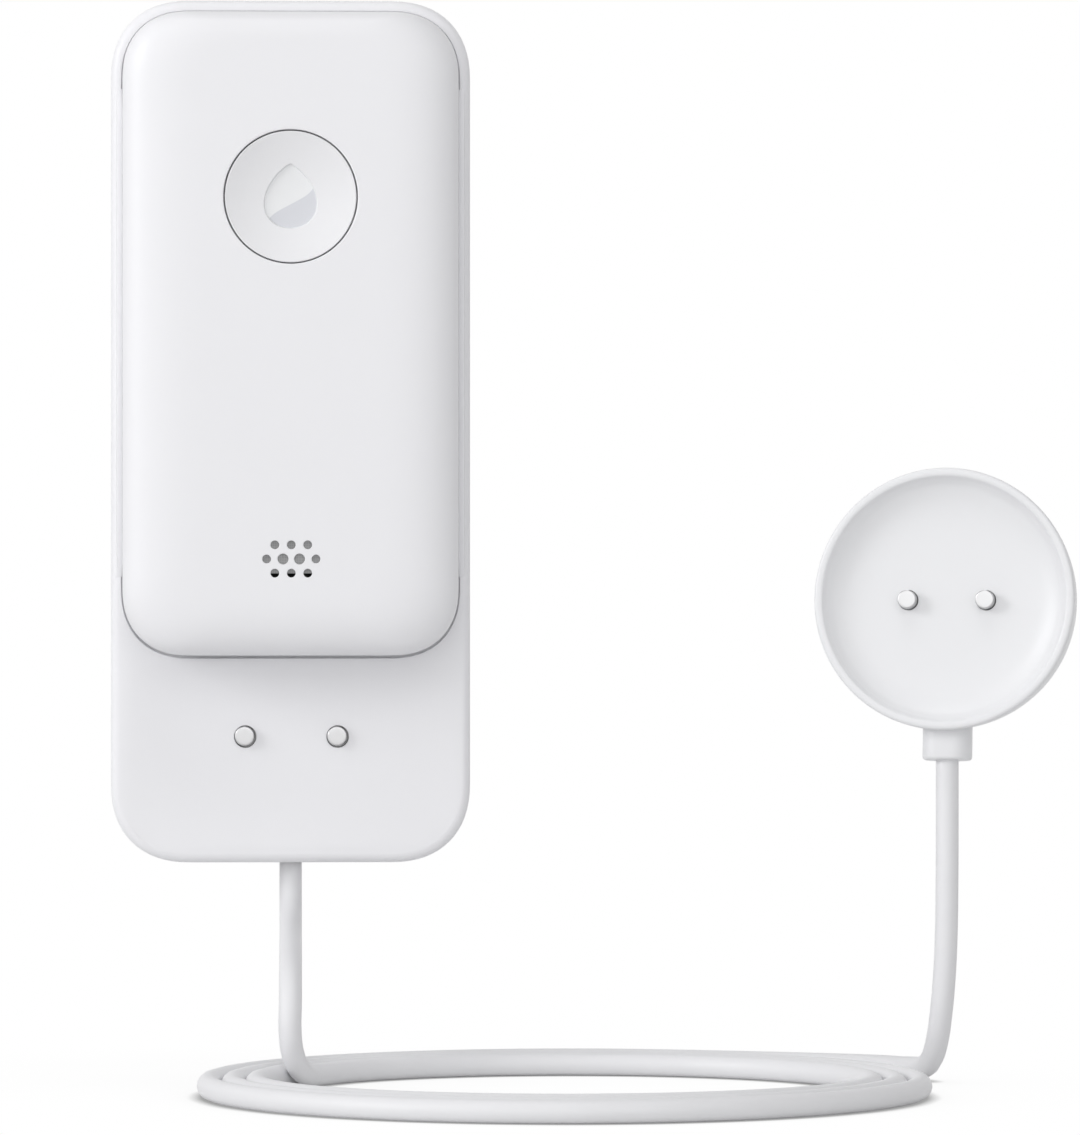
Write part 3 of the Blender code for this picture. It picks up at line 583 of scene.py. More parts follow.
# Depth of the ledge's dish: it fades to the sides as a square, to the lower edge as a soft power and
# to the cover as a steep one
def dishFall(x, z):
    h = housing
    across = np.clip(np.abs(x) / h["dishHalf"], 0, 1)
    up = np.clip((z - h["dishLow"]) / (h["dishHigh"] - h["dishLow"]), 0, 1)
    fade = (1 - across**2) * (1 - (1 - up) ** h["dishLowPower"]) * (1 - up ** h["dishHighPower"])
    return h["dishDepth"] * fade


# Sizes of the housing's outline, drawn in by inset
def housingShape(inset):
    h = housing
    return h["half"] - inset, h["low"] + inset, h["high"] - inset, h["corner"] - inset


# The front face with its dish, a quarter circle round the front edge, a smaller one round the back
# edge, and the flat back
def makeHousing():
    h = housing
    edge = h["edge"]
    front = faceGrid(*housingShape(edge), h["depth"])
    front[:, :, 1] += dishFall(front[:, :, 0], front[:, :, 2])
    rings = []
    for a in np.radians(np.linspace(90, 0, 9)):
        shape = housingShape(edge * (1 - math.cos(a)))
        rings.append(outlineRing(*shape, h["depth"] - edge * (1 - math.sin(a))))
    backEdge = h["backEdge"]
    for a in np.radians(np.linspace(0, 90, 6)):
        shape = housingShape(backEdge * (1 - math.cos(a)))
        rings.append(outlineRing(*shape, backEdge * (1 - math.sin(a))))
    back = faceGrid(*housingShape(backEdge), 0)
    return buildPiece("housingShell", [faceSheet(front), ringSheet(rings), faceSheet(back)], whitePlastic)


# A closed bar with a round top, standing on the front face beside the cover. It has four sections,
# and the two at its ends are lower by railDrop, but never lower than railFoot.
def railSheets(side):
    h = housing
    inner = cover["half"] + h["railGap"]
    across = np.array([0, 0, 0.12, 0.5, 0.88, 1, 1]) * h["railWidth"]
    foot = h["railFoot"]
    shoulder = h["railShoulder"]
    bend = h["railBend"]
    depths = np.array([foot, shoulder, bend, h["railTop"], bend, shoulder, foot])
    section = np.stack([inner + across, depths], axis=1)
    ramp = h["railRamp"]
    heights = np.array([h["railLow"], h["railLow"] + ramp, h["railHigh"] - ramp, h["railHigh"]])
    drop = np.array([h["railDrop"], 0, 0, h["railDrop"]])
    x = side * np.repeat(section[None, :, 0], 4, axis=0)
    y = -np.maximum(section[None, :, 1] - drop[:, None], foot)
    z = np.repeat(heights[:, None], len(section), axis=1)
    rows = np.stack([x, y, z], axis=2)
    sheets = [ringSheet(rows)]
    for ring in (rows[0], rows[3]):
        sheets.append(ringSheet([ring, np.repeat(ring.mean(axis=0)[None], len(ring), axis=0)]))
    return sheets


# A closed box with rounded corners: its faces at two depths, and the sides between them
def boxOutline(half, low, high, corner, depths):
    faces = [faceSheet(faceGrid(half, low, high, corner, depth)) for depth in depths]
    sides = ringSheet([outlineRing(half, low, high, corner, depth) for depth in depths])
    return [faces[0], sides, faces[1]]


# A closed cylinder about local z from start to end
def cylinderSheet(radius, start, end, place, steps=64):
    return turnedSheet([(0, start), (radius, start), (radius, end), (0, end)], place, steps)


# The groove that runs round the foot of the cover: a closed ring, partly under the cover's rim
def seamSheet():
    h = housing
    c = cover
    under = h["seamUnder"]
    inner = (c["half"] - under, c["low"] + under, c["high"] - under, c["corner"] - under)
    outer = (
        c["half"] + h["seamSide"],
        c["low"] - h["seamLow"],
        c["high"] + h["seamTop"],
        c["corner"] + h["seamSide"],
    )
    low = h["depth"] - h["seamDepth"]
    high = h["depth"] + h["cutterPast"]
    corners = [(inner, low), (outer, low), (outer, high), (inner, high), (inner, low)]
    return ringSheet([outlineRing(*shape, depth) for shape, depth in corners])


# Cuts the seam and the hollow for tray and boards, and adds the two rails
def shapeHousing(shell):
    h = housing
    carve(shell, [seamSheet()])
    for side in (-1, 1):
        carve(shell, railSheets(side), "UNION")
    outlineShape.update(coarseOutline)
    hollow = (h["hollowHalf"], h["hollowLow"], h["hollowHigh"], h["hollowCorner"])
    carve(shell, boxOutline(*hollow, (h["backWall"], h["hollowEnd"])))
    lower = (h["hollowHalf"], h["lowerFloor"], h["hollowLow"] + h["hollowOverlap"], h["hollowCorner"])
    carve(shell, boxOutline(*lower, (h["backWall"], h["lowerDepth"])))
    outlineShape.update(fineOutline)


# A counterbore with a bevelled mouth and the screw's hole through its bottom
def boreProfile():
    h = housing
    wide = h["boreRadius"] + h["boreMouth"]
    return [
        (0, -h["cutterPast"]),
        (wide + h["cutterPast"], -h["cutterPast"]),
        (wide, 0),
        (h["boreRadius"], h["boreMouth"]),
        (h["boreRadius"], h["boreDepth"]),
        (h["screwHole"], h["boreDepth"]),
        (h["screwHole"], h["depth"]),
        (0, h["depth"]),
    ]


# Cuts the holes of the pins, the screws and the cord, and adds a boss round each screw
def drillHousing(shell):
    h = housing
    for x in h["pinSpots"]:
        place = facing(x + h["pinPlaySide"], h["pinHeight"] - h["pinPlayDown"])
        hole = cylinderSheet(h["pinHole"], h["pinHoleBack"], h["pinHoleFront"], place)
        carve(shell, [hole])
    for x, z in screwSpots.values():
        place = facing(x, z)
        start = h["backWall"] - h["bossSunk"]
        boss = cylinderSheet(h["bossRadius"], start, h["depth"] - h["bossShort"], place)
        carve(shell, [boss], "UNION")
        carve(shell, [turnedSheet(boreProfile(), place, 64)])
    place = Matrix.Translation((0, cordShape["exit"][1], 0))
    hole = cylinderSheet(h["cordHole"], h["low"] - h["cutterPast"], h["cordHoleTop"], place, 48)
    carve(shell, [hole])


housingShell = makeHousing()
shapeHousing(housingShell)
drillHousing(housingShell)
attach(housingShell, "unit", "white_plastic", "rear_housing")
print("housing made:", len(housingShell.data.polygons), "faces")


# front cover

# The gauze lies in a pocket, and behind says how far its two faces are behind the pocket's front
gauze = inMetres(
    half=4.6,
    low=-18.95,
    high=-14.0,
    corner=1.2,
    pocketHalf=4.9,
    pocketLow=-20.4,
    pocketHigh=-13.7,
    pocketCorner=1.5,
    pocketBack=19.0,
    pocketFront=21.15,
)
gauze.update(behind=(0.45 * mm, 0.05 * mm))


# Outline of the cover at one step of its roll-off: part runs from 0, the middle of the face, to 1,
# the straight side. The sides draw in furthest and the top least.
def coverShape(part, wall):
    c = cover
    inset = 1 - part
    half = c["half"] - wall - inset * (c["rollSide"] - wall)
    low = c["low"] + wall + inset * (c["rollLow"] - wall)
    high = c["high"] - wall - inset * (c["rollHigh"] - wall * c["insideTop"])
    corner = (c["corner"] - wall) * (1 - c["cornerShrink"] * inset)
    return half, low, high, corner


# The roll-off is a quarter superellipse from the face to the straight side: the part of an outline
# is the sine to the power of 2 / rollPower, and the fall is 1 less that power of the cosine. The
# inside is a second such skin, one wall behind, and the rim joins the two.
def makeCover():
    c = cover
    power = 2 / c["rollPower"]
    turn = np.radians(np.linspace(c["rollStart"], 90, c["rollSteps"]))
    parts = np.sin(turn) ** power
    falls = 1 - np.cos(turn) ** power
    rim = c["rim"]
    lip = c["lip"]
    skins = []
    faces = []
    for wall, roll in ((0, c["rollDepth"]), (c["wall"], c["rollDepth"] - c["insideFlat"])):
        depths = c["front"] - wall - roll * falls
        skins.append([outlineRing(*coverShape(part, wall), depth) for part, depth in zip(parts, depths)])
        faces.append(faceGrid(*coverShape(parts[0], wall), depths[0]))
    straight = [
        outlineRing(*coverShape(1, 0), rim + lip),
        outlineRing(*coverShape(1, lip), rim),
        outlineRing(*coverShape(1, c["wall"] - lip), rim),
        outlineRing(*coverShape(1, c["wall"]), rim + lip),
    ]
    rings = skins[0] + straight + skins[1][::-1]
    sheets = [faceSheet(faces[0]), ringSheet(rings), faceSheet(faces[1])]
    return buildPiece("coverShell", sheets, whitePlastic)


# The button's round hole: its edge widens by buttonBevel along a quarter circle
def cutButtonHole(shell):
    c = cover
    back = c["front"] - c["wall"] - c["cutterPast"]
    bevel = c["buttonBevel"]
    profile = [(0, back), (c["buttonHole"], back), (c["buttonHole"], c["front"] - bevel)]
    for a in np.radians([18, 36, 54, 72, 86]):
        wide = c["buttonHole"] + bevel * (1 - math.cos(a))
        profile.append((wide, c["front"] - bevel * (1 - math.sin(a))))
    past = c["front"] + c["cutterPast"]
    profile += [(c["buttonHole"] + bevel, past), (0, past)]
    carve(shell, [turnedSheet(profile, facing(0, c["buttonHeight"]), 160)])


# Ten holes in rows of three, four and three, the middle two wider, each with a bevelled mouth
def cutSoundHoles(shell):
    c = cover
    back = c["front"] - c["wall"] - c["cutterPast"]
    past = c["front"] + c["cutterPast"]
    for row, count in ((1, 3), (0, 4), (-1, 3)):
        for k in range(count):
            radius = c["holeRadiusMiddle"] if count == 4 and k in (1, 2) else c["holeRadius"]
            narrow = radius - c["holeDraft"]
            mouth = radius + c["mouthWiden"]
            profile = [
                (0, back),
                (narrow, back),
                (narrow, c["front"] - c["mouthDepth"]),
                (mouth, c["front"] + c["mouthPast"]),
                (mouth, past),
                (0, past),
            ]
            x = (k - (count - 1) / 2) * c["holePitch"] + c["holeShift"]
            place = facing(x, c["holeHeight"] + row * c["holeRow"])
            carve(shell, [turnedSheet(profile, place, 40)])


# Cuts the pocket behind the sound holes and gives the sheets of the gauze that lies in it
def cutPocket(shell):
    g = gauze
    outlineShape.update(coarseOutline)
    pocket = (g["pocketHalf"], g["pocketLow"], g["pocketHigh"], g["pocketCorner"])
    carve(shell, boxOutline(*pocket, (g["pocketBack"], g["pocketFront"])))
    depths = [g["pocketFront"] - behind for behind in g["behind"]]
    sheets = boxOutline(g["half"], g["low"], g["high"], g["corner"], depths)
    outlineShape.update(fineOutline)
    return sheets


coverShell = makeCover()
cutButtonHole(coverShell)
gauzeSheets = cutPocket(coverShell)
cutSoundHoles(coverShell)
attach(coverShell, "unit", "white_plastic", "front_cover")
soundGauze = buildPiece("soundGauze", gauzeSheets, gauzeWeave)
attach(soundGauze, "unit", "sounder_plastic", "sounder_mesh")
print("cover made:", len(coverShell.data.polygons), "faces")


# test button

button = inMetres(
    radius=8.69,
    height=30.8,
    front=21.85,
    dish=1.35,
    edge=0.14,
    flangeFront=19.9,
    flangeBack=18.9,
    flangeRadius=9.75,
    stemEnd=18.4,
    dropTip=4.35,
    dropHeight=8.5,
    dropWidth=7.0,
    dropDepth=0.27,
    dropSoft=0.11,
    stemFoot=3.0,
    stemRadius=1.6,
    stemStep=0.2,
    tintInside=-0.12,
    tintOutside=0.02,
    faceDepth=1.9,
    waterHeight=-0.95,
    waterCurl=0.0022,
    waterSoft=0.06,
)
button.update(steps=181, dropPower=0.6, dropWidest=0.842, dropPoints=160, waterSlope=0.53)


# A drop in x and z, with t from 0 at the tip once round: z = tip - height * (1 - cos t) / 2 and
# x = width / 2 * sin t * |sin(t / 2)|^dropPower / dropWidest, the most that the sines come to
def dropOutline():
    b = button
    turn = np.linspace(0, 2 * math.pi, b["dropPoints"], endpoint=False)
    swell = np.sin(turn) * np.sin(turn / 2) ** b["dropPower"]
    x = b["dropWidth"] / 2 * swell / b["dropWidest"]
    z = b["dropTip"] - b["dropHeight"] * (1 - np.cos(turn)) / 2
    return np.stack([x, z], axis=1)


# Signed distance of points to a closed outline, negative inside: least distance to its edges, with
# the sign from how often a level ray to the right crosses them
def signedDistance(x, z, outline):
    a = outline
    b = np.roll(outline, -1, axis=0)
    edge = b - a
    px = x[:, None] - a[None, :, 0]
    pz = z[:, None] - a[None, :, 1]
    share = np.clip((px * edge[:, 0] + pz * edge[:, 1]) / (edge**2).sum(1), 0, 1)
    away = np.hypot(px - share * edge[:, 0], pz - share * edge[:, 1]).min(axis=1)
    spans = (a[None, :, 1] > z[:, None]) != (b[None, :, 1] > z[:, None])
    rise = np.where(edge[:, 1] == 0, 1, edge[:, 1])
    crossing = a[None, :, 0] + (z[:, None] - a[None, :, 1]) * edge[:, 0] / rise
    inside = (spans & (x[:, None] < crossing)).sum(axis=1) % 2 == 1
    return np.where(inside, -away, away)


# 0 below low, 1 above high, and between them a cubic that starts and ends level
def softStep(value, low, high):
    t = np.clip((value - low) / (high - low), 0, 1)
    return t * t * (3 - 2 * t)


# The face is a square grid bent into a disc, dished as a parabola, with the drop sunk into it by a
# soft step. Side, flange and stem are rings in step with the edge of that grid.
def makeButton():
    b = button
    n = b["steps"]
    u, v = np.meshgrid(np.linspace(-1, 1, n), np.linspace(-1, 1, n))
    rim = b["radius"] - b["edge"]
    x = rim * u * np.sqrt(1 - v**2 / 2)
    z = rim * v * np.sqrt(1 - u**2 / 2)
    away = np.hypot(x, z) / rim
    distance = signedDistance(x.ravel(), z.ravel(), dropOutline()).reshape(x.shape)
    sunk = 1 - softStep(distance, -b["dropSoft"] / 2, b["dropSoft"] / 2)
    depth = b["front"] - b["dish"] * (1 - away**2) - b["dropDepth"] * sunk
    face = np.stack([x, -depth, z + b["height"]], axis=2)
    edge = np.concatenate([face[0, :-1], face[:-1, -1], face[-1, :0:-1], face[:0:-1, 0]])
    flat = edge[:, [0, 2]] - [0, b["height"]]
    heading = flat / np.linalg.norm(flat, axis=1)[:, None]
    profile = [(rim, b["front"])]
    for a in np.radians([22, 45, 68, 90]):
        profile.append((rim + b["edge"] * math.sin(a), b["front"] - b["edge"] * (1 - math.cos(a))))
    profile += [
        (b["radius"], b["flangeFront"]),
        (b["flangeRadius"], b["flangeFront"]),
        (b["flangeRadius"], b["flangeBack"]),
        (b["stemFoot"], b["flangeBack"]),
        (b["stemRadius"], b["flangeBack"] - b["stemStep"]),
        (b["stemRadius"], b["stemEnd"]),
        (0, b["stemEnd"]),
    ]
    rings = []
    for radius, level in profile:
        ring = np.stack([heading[:, 0] * radius, np.full(len(heading), -level), heading[:, 1] * radius], 1)
        rings.append(ring + [0, 0, b["height"]])
    rings[0] = edge
    return buildPiece("testButton", [faceSheet(face), ringSheet(rings)])


testButton = makeButton()
attach(testButton, "button", "button_plastic", "test_button")


# Attributes that are 1 in the drop, and in its part below the water line. The line's height is
# waterHeight + waterSlope * x + waterCurl * x^5, with x in millimetres in the last of these.
def markDrop(piece):
    b = button
    count = len(piece.data.vertices)
    points = np.empty(count * 3, np.float32)
    piece.data.vertices.foreach_get("co", points)
    points = points.reshape(-1, 3)
    x = points[:, 0]
    z = points[:, 2] - b["height"]
    distance = signedDistance(x, z, dropOutline())
    inside = 1 - softStep(distance, b["tintInside"], b["tintOutside"])
    front = points[:, 1] < -(b["front"] - b["faceDepth"])
    line = b["waterHeight"] + b["waterSlope"] * x + b["waterCurl"] * (x / mm) ** 5
    lower = 1 - softStep(z - line, -b["waterSoft"], b["waterSoft"])
    for name, value in (("dropArea", inside * front), ("lowerPart", inside * lower * front)):
        attribute = piece.data.attributes.new(name, "FLOAT", "POINT")
        attribute.data.foreach_set("value", value.astype(np.float32))


markDrop(testButton)
buttonLook = {**whiteLook, "colour": (0.829, 0.829, 0.848), "roughness": 0.38}
buttonPlastic = mouldedPlastic("buttonPlastic", buttonLook)


# The drop is a touch lighter than the face, and cooler and darker below the water line. Inputs 6 and
# 7 of the mix are its two colours, and output 2 is the mixed one.
def tintDrop(material, upper, lower):
    nodes = material.node_tree.nodes
    links = material.node_tree.links
    shader = nodes["Principled BSDF"]
    colour = shader.inputs["Base Color"].links[0].from_socket
    for name, tint in (("dropArea", upper), ("lowerPart", lower)):
        attribute = addNode(nodes, "ShaderNodeAttribute", attribute_name=name)
        mix = addNode(nodes, "ShaderNodeMix", data_type="RGBA")
        mix.inputs[7].default_value = (*tint, 1)
        links.new(attribute.outputs["Fac"], mix.inputs["Factor"])
        links.new(colour, mix.inputs[6])
        colour = mix.outputs[2]
    links.new(colour, shader.inputs["Base Color"])


tintDrop(buttonPlastic, upper=(0.835, 0.843, 0.855), lower=(0.665, 0.675, 0.715))
testButton.data.materials.append(buttonPlastic)
print("button made:", len(testButton.data.polygons), "faces")


# housing screws

screw = inMetres(
    head=2.1,
    back=3.3,
    front=4.7,
    shank=1.1,
    end=15.2,
    point=0.6,
    pointRadius=0.3,
    crown=0.1,
    round=0.35,
    slotDepth=1.25,
    cutterPast=1,
)
screw.update(slotHalf=(1.25 * mm, 0.27 * mm), slotTaper=0.8)


# One slot of the recess: a closed box turned about the screw, narrower by slotTaper at its bottom
def slotSheet(place):
    s = screw
    square = np.array(s["slotHalf"]) * np.array([(-1, -1), (1, -1), (1, 1), (-1, 1)])
    loops = []
    for size, level in ((1, s["back"] - s["cutterPast"]), (s["slotTaper"], s["back"] + s["slotDepth"])):
        loops.append(np.column_stack([square * size, np.full(4, level)]))
    middle = [np.repeat(loop.mean(axis=0)[None], 4, axis=0) for loop in loops]
    return ringSheet([placed(loop, place) for loop in (middle[0], *loops, middle[1])])


# A pan head with a crossed recess at the bottom of its counterbore, and a plain shank with a point
def makeScrew(spot, x, z):
    s = screw
    corners = [
        (0, s["back"]),
        (s["head"], s["back"] + s["crown"], s["round"]),
        (s["head"], s["front"]),
        (s["shank"], s["front"]),
        (s["shank"], s["end"] - s["point"]),
        (s["pointRadius"], s["end"]),
        (0, s["end"]),
    ]
    sheet = turnedSheet(roundedProfile(corners), facing(x, z), 48)
    piece = buildPiece("housingScrew_" + spot, [sheet], zincSteel)
    for turn in (45, 135):
        place = facing(x, z) @ Matrix.Rotation(math.radians(turn), 4, "Z")
        carve(piece, [slotSheet(place)])
    attach(piece, "unit", "screw_steel", "screw_" + spot)


for spot, (x, z) in screwSpots.items():
    makeScrew(spot, x, z)
print("screws made")


# contact pins of the ledge

ledgePin = inMetres(
    radius=1.3,
    surface=8.6,
    stand=1.25,
    round=0.22,
    flangeRadius=2.2,
    flangeFront=5.4,
    flangeBack=4.8,
    stemRadius=0.6,
    stemBack=4.1,
)


# The profile of a ledge pin: a stem and a flange behind the ledge, and a flat top with a rounded
# edge. One more ring half way across the top keeps the rounding's shade off the middle.
def ledgePinProfile():
    p = ledgePin
    top = p["surface"] + p["stand"]
    corners = [
        (0, p["stemBack"]),
        (p["stemRadius"], p["stemBack"]),
        (p["stemRadius"], p["flangeBack"]),
        (p["flangeRadius"], p["flangeBack"]),
        (p["flangeRadius"], p["flangeFront"]),
        (p["radius"], p["flangeFront"]),
        (p["radius"], top, p["round"]),
        (0, top),
    ]
    profile = roundedProfile(corners, 6)
    profile.insert(-1, (p["radius"] * 0.5, top))
    return profile


# One turned pin, which stands for its CAD node
def makePin(name, node, profile, place):
    piece = buildPiece(name, [turnedSheet(profile, place)], pinMetal)
    attach(piece, "unit", "pin_steel", node)


for side, x in zip(("Left", "Right"), housing["pinSpots"]):
    place = facing(x, housing["pinHeight"])
    makePin("ledgePin" + side, "contact_pin_" + side.lower(), ledgePinProfile(), place)


# probe

probe = {
    "centre": (85.3 * mm, -34.0 * mm, -22.2 * mm),
    "turnLeft": math.radians(14),
    "tiltUp": math.radians(5),
    "radius": 17.2 * mm,
    "pinSpots": (-5.15 * mm, 5.15 * mm),
    "pinRadius": 1.22 * mm,
    "pinHole": 1.34 * mm,
    "pinTop": 1.35 * mm,
    "pinRound": 0.22 * mm,
    "floorBack": 4.0 * mm,
    "flangeGap": 0.3 * mm,
    "flangeRadius": 2.0 * mm,
    "flangeEnd": 4.6 * mm,
    "holeStart": 1.0 * mm,
    "holeEnd": 5.0 * mm,
    "sharpAngle": 42,
}
probePlace = (
    Matrix.Translation(probe["centre"])
    @ Matrix.Rotation(-probe["turnLeft"], 4, "Z")
    @ Matrix.Rotation(-probe["tiltUp"], 4, "X")
)


# Heights of a turned probe piece are distances behind the plane of its rim
def probeAxis(x, z):
    return probePlace @ Matrix.Translation((x, 0, z)) @ Matrix.Rotation(-math.pi / 2, 4, "X")


# A smooth curve through the profile's own points, by a Catmull-Rom spline: between two points it is a
# cubic whose slope at each is half the step from the point before it to the point after it
def smoothProfile(points, share=8):
    knots = np.array(points, float)
    knots = np.concatenate([[2 * knots[0] - knots[1]], knots, [2 * knots[-1] - knots[-2]]])
    t = np.linspace(0, 1, share, endpoint=False)[:, None]
    rows = []
    for k in range(1, len(knots) - 2):
        a, b, c, d = knots[k - 1 : k + 3]
        square = 2 * a - 5 * b + 4 * c - d
        cube = 3 * b - a - 3 * c + d
        rows.append((2 * b + (c - a) * t + square * t**2 + cube * t**3) / 2)
    return np.concatenate([*rows, [knots[-2]]])


# The cup's profile in three stretches of radius and height: dish, rim, and side with back
dishKnots = [(0, 3.05), (5.5, 3.04), (9.8, 2.92), (12.8, 2.56), (14.7, 1.8), (15.6, 1.0), (16.0, 0.42)]
dishCurve = smoothProfile(np.array(dishKnots) * mm)
rimKnots = [(16.08, 0.2), (16.2, 0.08), (16.4, 0.02), (16.7, 0), (16.95, 0.04), (17.12, 0.16), (17.2, 0.4)]
rimCurve = np.array(rimKnots) * mm
sideKnots = [(17.2, 1.0), (17.1, 2.5), (16.8, 5.5), (16.5, 7.6), (16.38, 7.86), (16.2, 8.0), (15.6, 8.0)]
backKnots = [(15.6, 6.0), (13.8, 6.0), (13.8, 4.0), (0, 4.0)]
sideCurve = np.array(sideKnots + backKnots) * mm
cupProfile = np.concatenate([dishCurve, rimCurve, sideCurve])
cupSheet = turnedSheet(cupProfile, probeAxis(0, 0), 192)
probeCup = buildPiece("probeCup", [cupSheet], probePlastic, probe["sharpAngle"])
for x in probe["pinSpots"]:
    hole = cylinderSheet(probe["pinHole"], probe["holeStart"], probe["holeEnd"], probeAxis(x, 0), 64)
    carve(probeCup, [hole], sharpAngle=probe["sharpAngle"])
attach(probeCup, "unit", "probe_plastic", "probe_cup")


# The profile of a probe pin: as on the ledge, with its flange behind the floor of the cup
def probePinProfile():
    p = probe
    flange = p["floorBack"] + p["flangeGap"]
    corners = [
        (0, p["pinTop"]),
        (p["pinRadius"], p["pinTop"], p["pinRound"]),
        (p["pinRadius"], flange),
        (p["flangeRadius"], flange),
        (p["flangeRadius"], p["flangeEnd"]),
        (0, p["flangeEnd"]),
    ]
    profile = roundedProfile(corners, 6)
    profile.insert(1, (p["pinRadius"] * 0.5, p["pinTop"]))
    return profile


for side, x in zip(("Left", "Right"), probe["pinSpots"]):
    makePin("probePin" + side, "probe_pin_" + side.lower(), probePinProfile(), probeAxis(x, 0))

collar = inMetres(halfX=3.25, halfY=2.6, corner=2.45, middle=5.0, low=-20.9, edge=0.45, sunk=1.3)


# A rounded rectangle in the probe's x and y, drawn in by inset: a circle whose quarters are set apart
def collarRing(inset):
    k = collar
    corner = k["corner"] - inset
    turn = np.radians(np.arange(0, 360, 6))
    x = np.sign(np.cos(turn) + 1e-9) * (k["halfX"] - k["corner"]) + corner * np.cos(turn)
    y = np.sign(np.sin(turn) + 1e-9) * (k["halfY"] - k["corner"]) + corner * np.sin(turn)
    return x, k["middle"] + y


# Rings from a point under the collar, round its lower edge and up to the curve of the cup, which they
# pass by sunk
def makeCollar():
    k = collar
    rings = []
    for a in np.radians(np.linspace(0, 90, 7)):
        x, y = collarRing(k["edge"] * (1 - math.sin(a)))
        rings.append(np.stack([x, y, np.full(len(x), k["low"] + k["edge"] * (1 - math.cos(a)))], 1))
    middle = np.array([0, k["middle"], k["low"]])
    rings.insert(0, np.repeat(middle[None], len(rings[0]), axis=0))
    x, y = collarRing(0)
    top = -np.sqrt((probe["radius"] - k["sunk"]) ** 2 - x**2)
    rings.append(np.stack([x, y, top], 1))
    peak = np.array([0, k["middle"], top.min()])
    rings.append(np.repeat(peak[None], len(x), axis=0))
    points = placed(np.stack(rings).reshape(-1, 3), probePlace).reshape(len(rings), -1, 3)
    piece = buildPiece("probeCollar", [ringSheet(list(points))], probePlastic)
    attach(piece, "unit", "probe_plastic", "probe_collar")


makeCollar()
print("probe made")

# finishes of the CAD's own pieces

plainLooks = {
    "darkRubber": ((0.035, 0.035, 0.037), 0.75),
    "blackPlastic": ((0.02, 0.02, 0.022), 0.5),
    "greyPlastic": ((0.09, 0.095, 0.1), 0.5),
    "boardGreen": ((0.02, 0.10, 0.045), 0.42),
    "cellWrap": ((0.10, 0.12, 0.15), 0.35),
    "ribbonFilm": ((0.45, 0.22, 0.06), 0.38),
}
plain = {}
for name, (colour, roughness) in plainLooks.items():
    plain[name] = mouldedPlastic(name, {**whiteLook, "colour": colour, "roughness": roughness})
finishes = [
    ("seal gasket grommet", plain["darkRubber"]),
    ("board", plain["boardGreen"]),
    ("chip switch", plain["blackPlastic"]),
    ("tray", plain["greyPlastic"]),
    ("ribbon", plain["ribbonFilm"]),
    ("spring bridge tab", nickel),
    ("sounder", plain["blackPlastic"]),
    ("battery", plain["cellWrap"]),
    ("probe_back", probePlastic),
]
# The first row with a word that is in the node's name gives its finish
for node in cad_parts:
    cadObject = bpy.data.objects.get(node)
    if cadObject is None or cadObject.hide_render:
        continue
    for words, material in finishes:
        if any(word in node for word in words.split()):
            cadObject.data.materials.clear()
            cadObject.data.materials.append(material)
            break
print("finishes given")

# floor, light and background

stage = {
    "floorReach": 6.0,
    "floorColour": (0.82, 0.82, 0.82, 1),
    "floorRoughness": 0.9,
    "ambient": 0.42,
    "target": (0.02, -0.02, 0),
    "keyLamp": {"place": (-1.05, -0.5, 0.4), "size": 0.6, "energy": 5.4},
    "topLamp": {"place": (-0.12, -0.42, 1.15), "size": 0.5, "energy": 1.8},
    "frontLamp": {"place": (0.05, -2.2, 0.25), "size": 3.1, "energy": 25.4},
    "closeShade": {"reach": 0.002, "from": 0.25, "to": 0.9, "least": 0.4},
    "wideShade": {"reach": 0.06, "from": 0.3, "to": 0.98, "least": 0.9},
}


# 1 for what the camera sees straight, in a reflection or through something, and 0 for bounced light
def seenDirectly(nodes, links):
    path = nodes.new("ShaderNodeLightPath")
    seen = path.outputs["Is Camera Ray"]
    for kind in ("Is Glossy Ray", "Is Transmission Ray"):
        either = addNode(nodes, "ShaderNodeMath", operation="MAXIMUM")
        links.new(seen, either.inputs[0])
        links.new(path.outputs[kind], either.inputs[1])
        seen = either.outputs["Value"]
    return seen


# One shader for bounced light, and another where it is seen directly
def splitBySight(nodes, links, bounced, direct, output):
    mix = nodes.new("ShaderNodeMixShader")
    links.new(seenDirectly(nodes, links), mix.inputs["Fac"])
    links.new(bounced, mix.inputs[1])
    links.new(direct, mix.inputs[2])
    links.new(mix.outputs["Shader"], output.inputs["Surface"])


# How open a point of the floor is, within reach, as a factor from least to 1
def opennessFactor(nodes, links, shade):
    openness = addNode(nodes, "ShaderNodeAmbientOcclusion", samples=16, Distance=shade["reach"])
    factor = nodes.new("ShaderNodeMapRange")
    factor.inputs["From Min"].default_value = shade["from"]
    factor.inputs["From Max"].default_value = shade["to"]
    factor.inputs["To Min"].default_value = shade["least"]
    links.new(openness.outputs["AO"], factor.inputs["Value"])
    return factor.outputs["Result"]
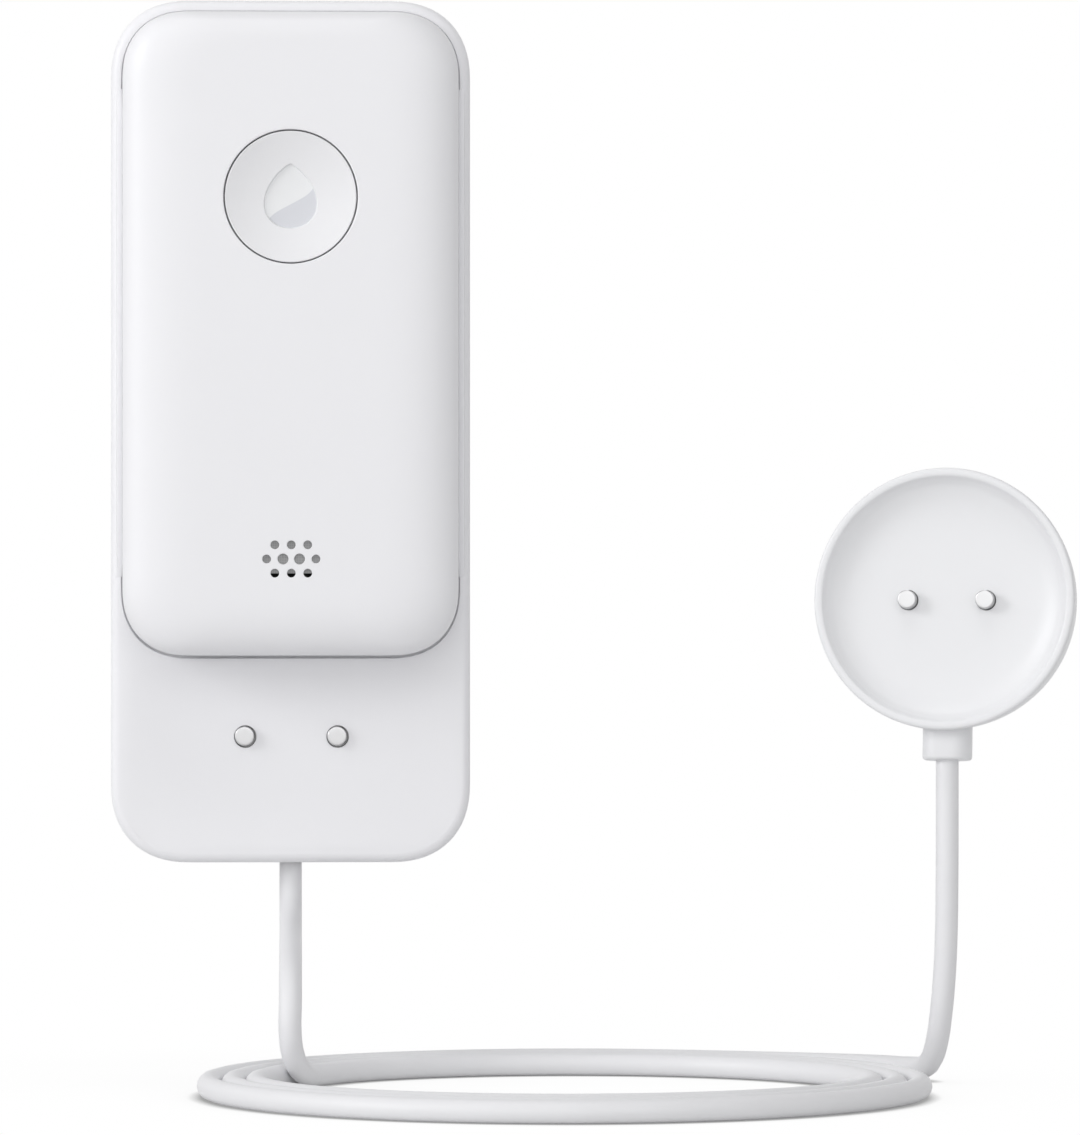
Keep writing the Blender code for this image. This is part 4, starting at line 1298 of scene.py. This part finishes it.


# The floor bounces light as a pale board. For the camera it glows white, and is darker only where
# the object closes it in, first closely and then widely: painted shade from ambient occlusion.
def floorMaterial():
    material, nodes, links, shader = startMaterial("paleFloor")
    shader.inputs["Base Color"].default_value = stage["floorColour"]
    shader.inputs["Roughness"].default_value = stage["floorRoughness"]
    both = addNode(nodes, "ShaderNodeMath", operation="MULTIPLY")
    links.new(opennessFactor(nodes, links, stage["closeShade"]), both.inputs[0])
    links.new(opennessFactor(nodes, links, stage["wideShade"]), both.inputs[1])
    glow = nodes.new("ShaderNodeEmission")
    links.new(both.outputs["Value"], glow.inputs["Strength"])
    output = nodes["Material Output"]
    splitBySight(nodes, links, shader.outputs["BSDF"], glow.outputs["Emission"], output)
    return material


# A wide square floor, which isn't part of the object
def makeFloor():
    mesh = bpy.data.meshes.new("floor")
    reach = stage["floorReach"]
    low = cordShape["floor"]
    corners = [(-reach, -reach, low), (reach, -reach, low), (reach, reach, low), (-reach, reach, low)]
    mesh.from_pydata(corners, [], [(0, 1, 2, 3)])
    mesh.materials.append(floorMaterial())
    floor = bpy.data.objects.new("floor", mesh)
    bpy.context.scene.collection.objects.link(floor)


# White where it is seen directly, and dimmer as a source of light
def makeWorld():
    world = bpy.data.worlds.new("studio")
    bpy.context.scene.world = world
    world.use_nodes = True
    nodes = world.node_tree.nodes
    links = world.node_tree.links
    dim = nodes["Background"]
    dim.inputs["Color"].default_value = (1, 1, 1, 1)
    dim.inputs["Strength"].default_value = stage["ambient"]
    white = nodes.new("ShaderNodeBackground")
    white.inputs["Color"].default_value = (1, 1, 1, 1)
    output = nodes["World Output"]
    splitBySight(nodes, links, dim.outputs["Background"], white.outputs["Background"], output)


# A round lamp at place, turned to face the target
def areaLamp(name, place, size, energy):
    lamp = bpy.data.lights.new(name, "AREA")
    lamp.shape = "DISK"
    lamp.size = size
    lamp.energy = energy
    lampObject = bpy.data.objects.new(name, lamp)
    lampObject.location = place
    aim = Vector(stage["target"]) - Vector(place)
    lampObject.rotation_euler = aim.to_track_quat("-Z", "Y").to_euler()
    bpy.context.scene.collection.objects.link(lampObject)


makeFloor()
makeWorld()
for name in ("keyLamp", "topLamp", "frontLamp"):
    areaLamp(name, **stage[name])
bpy.context.scene.view_settings.view_transform = "Standard"
print("studio set")
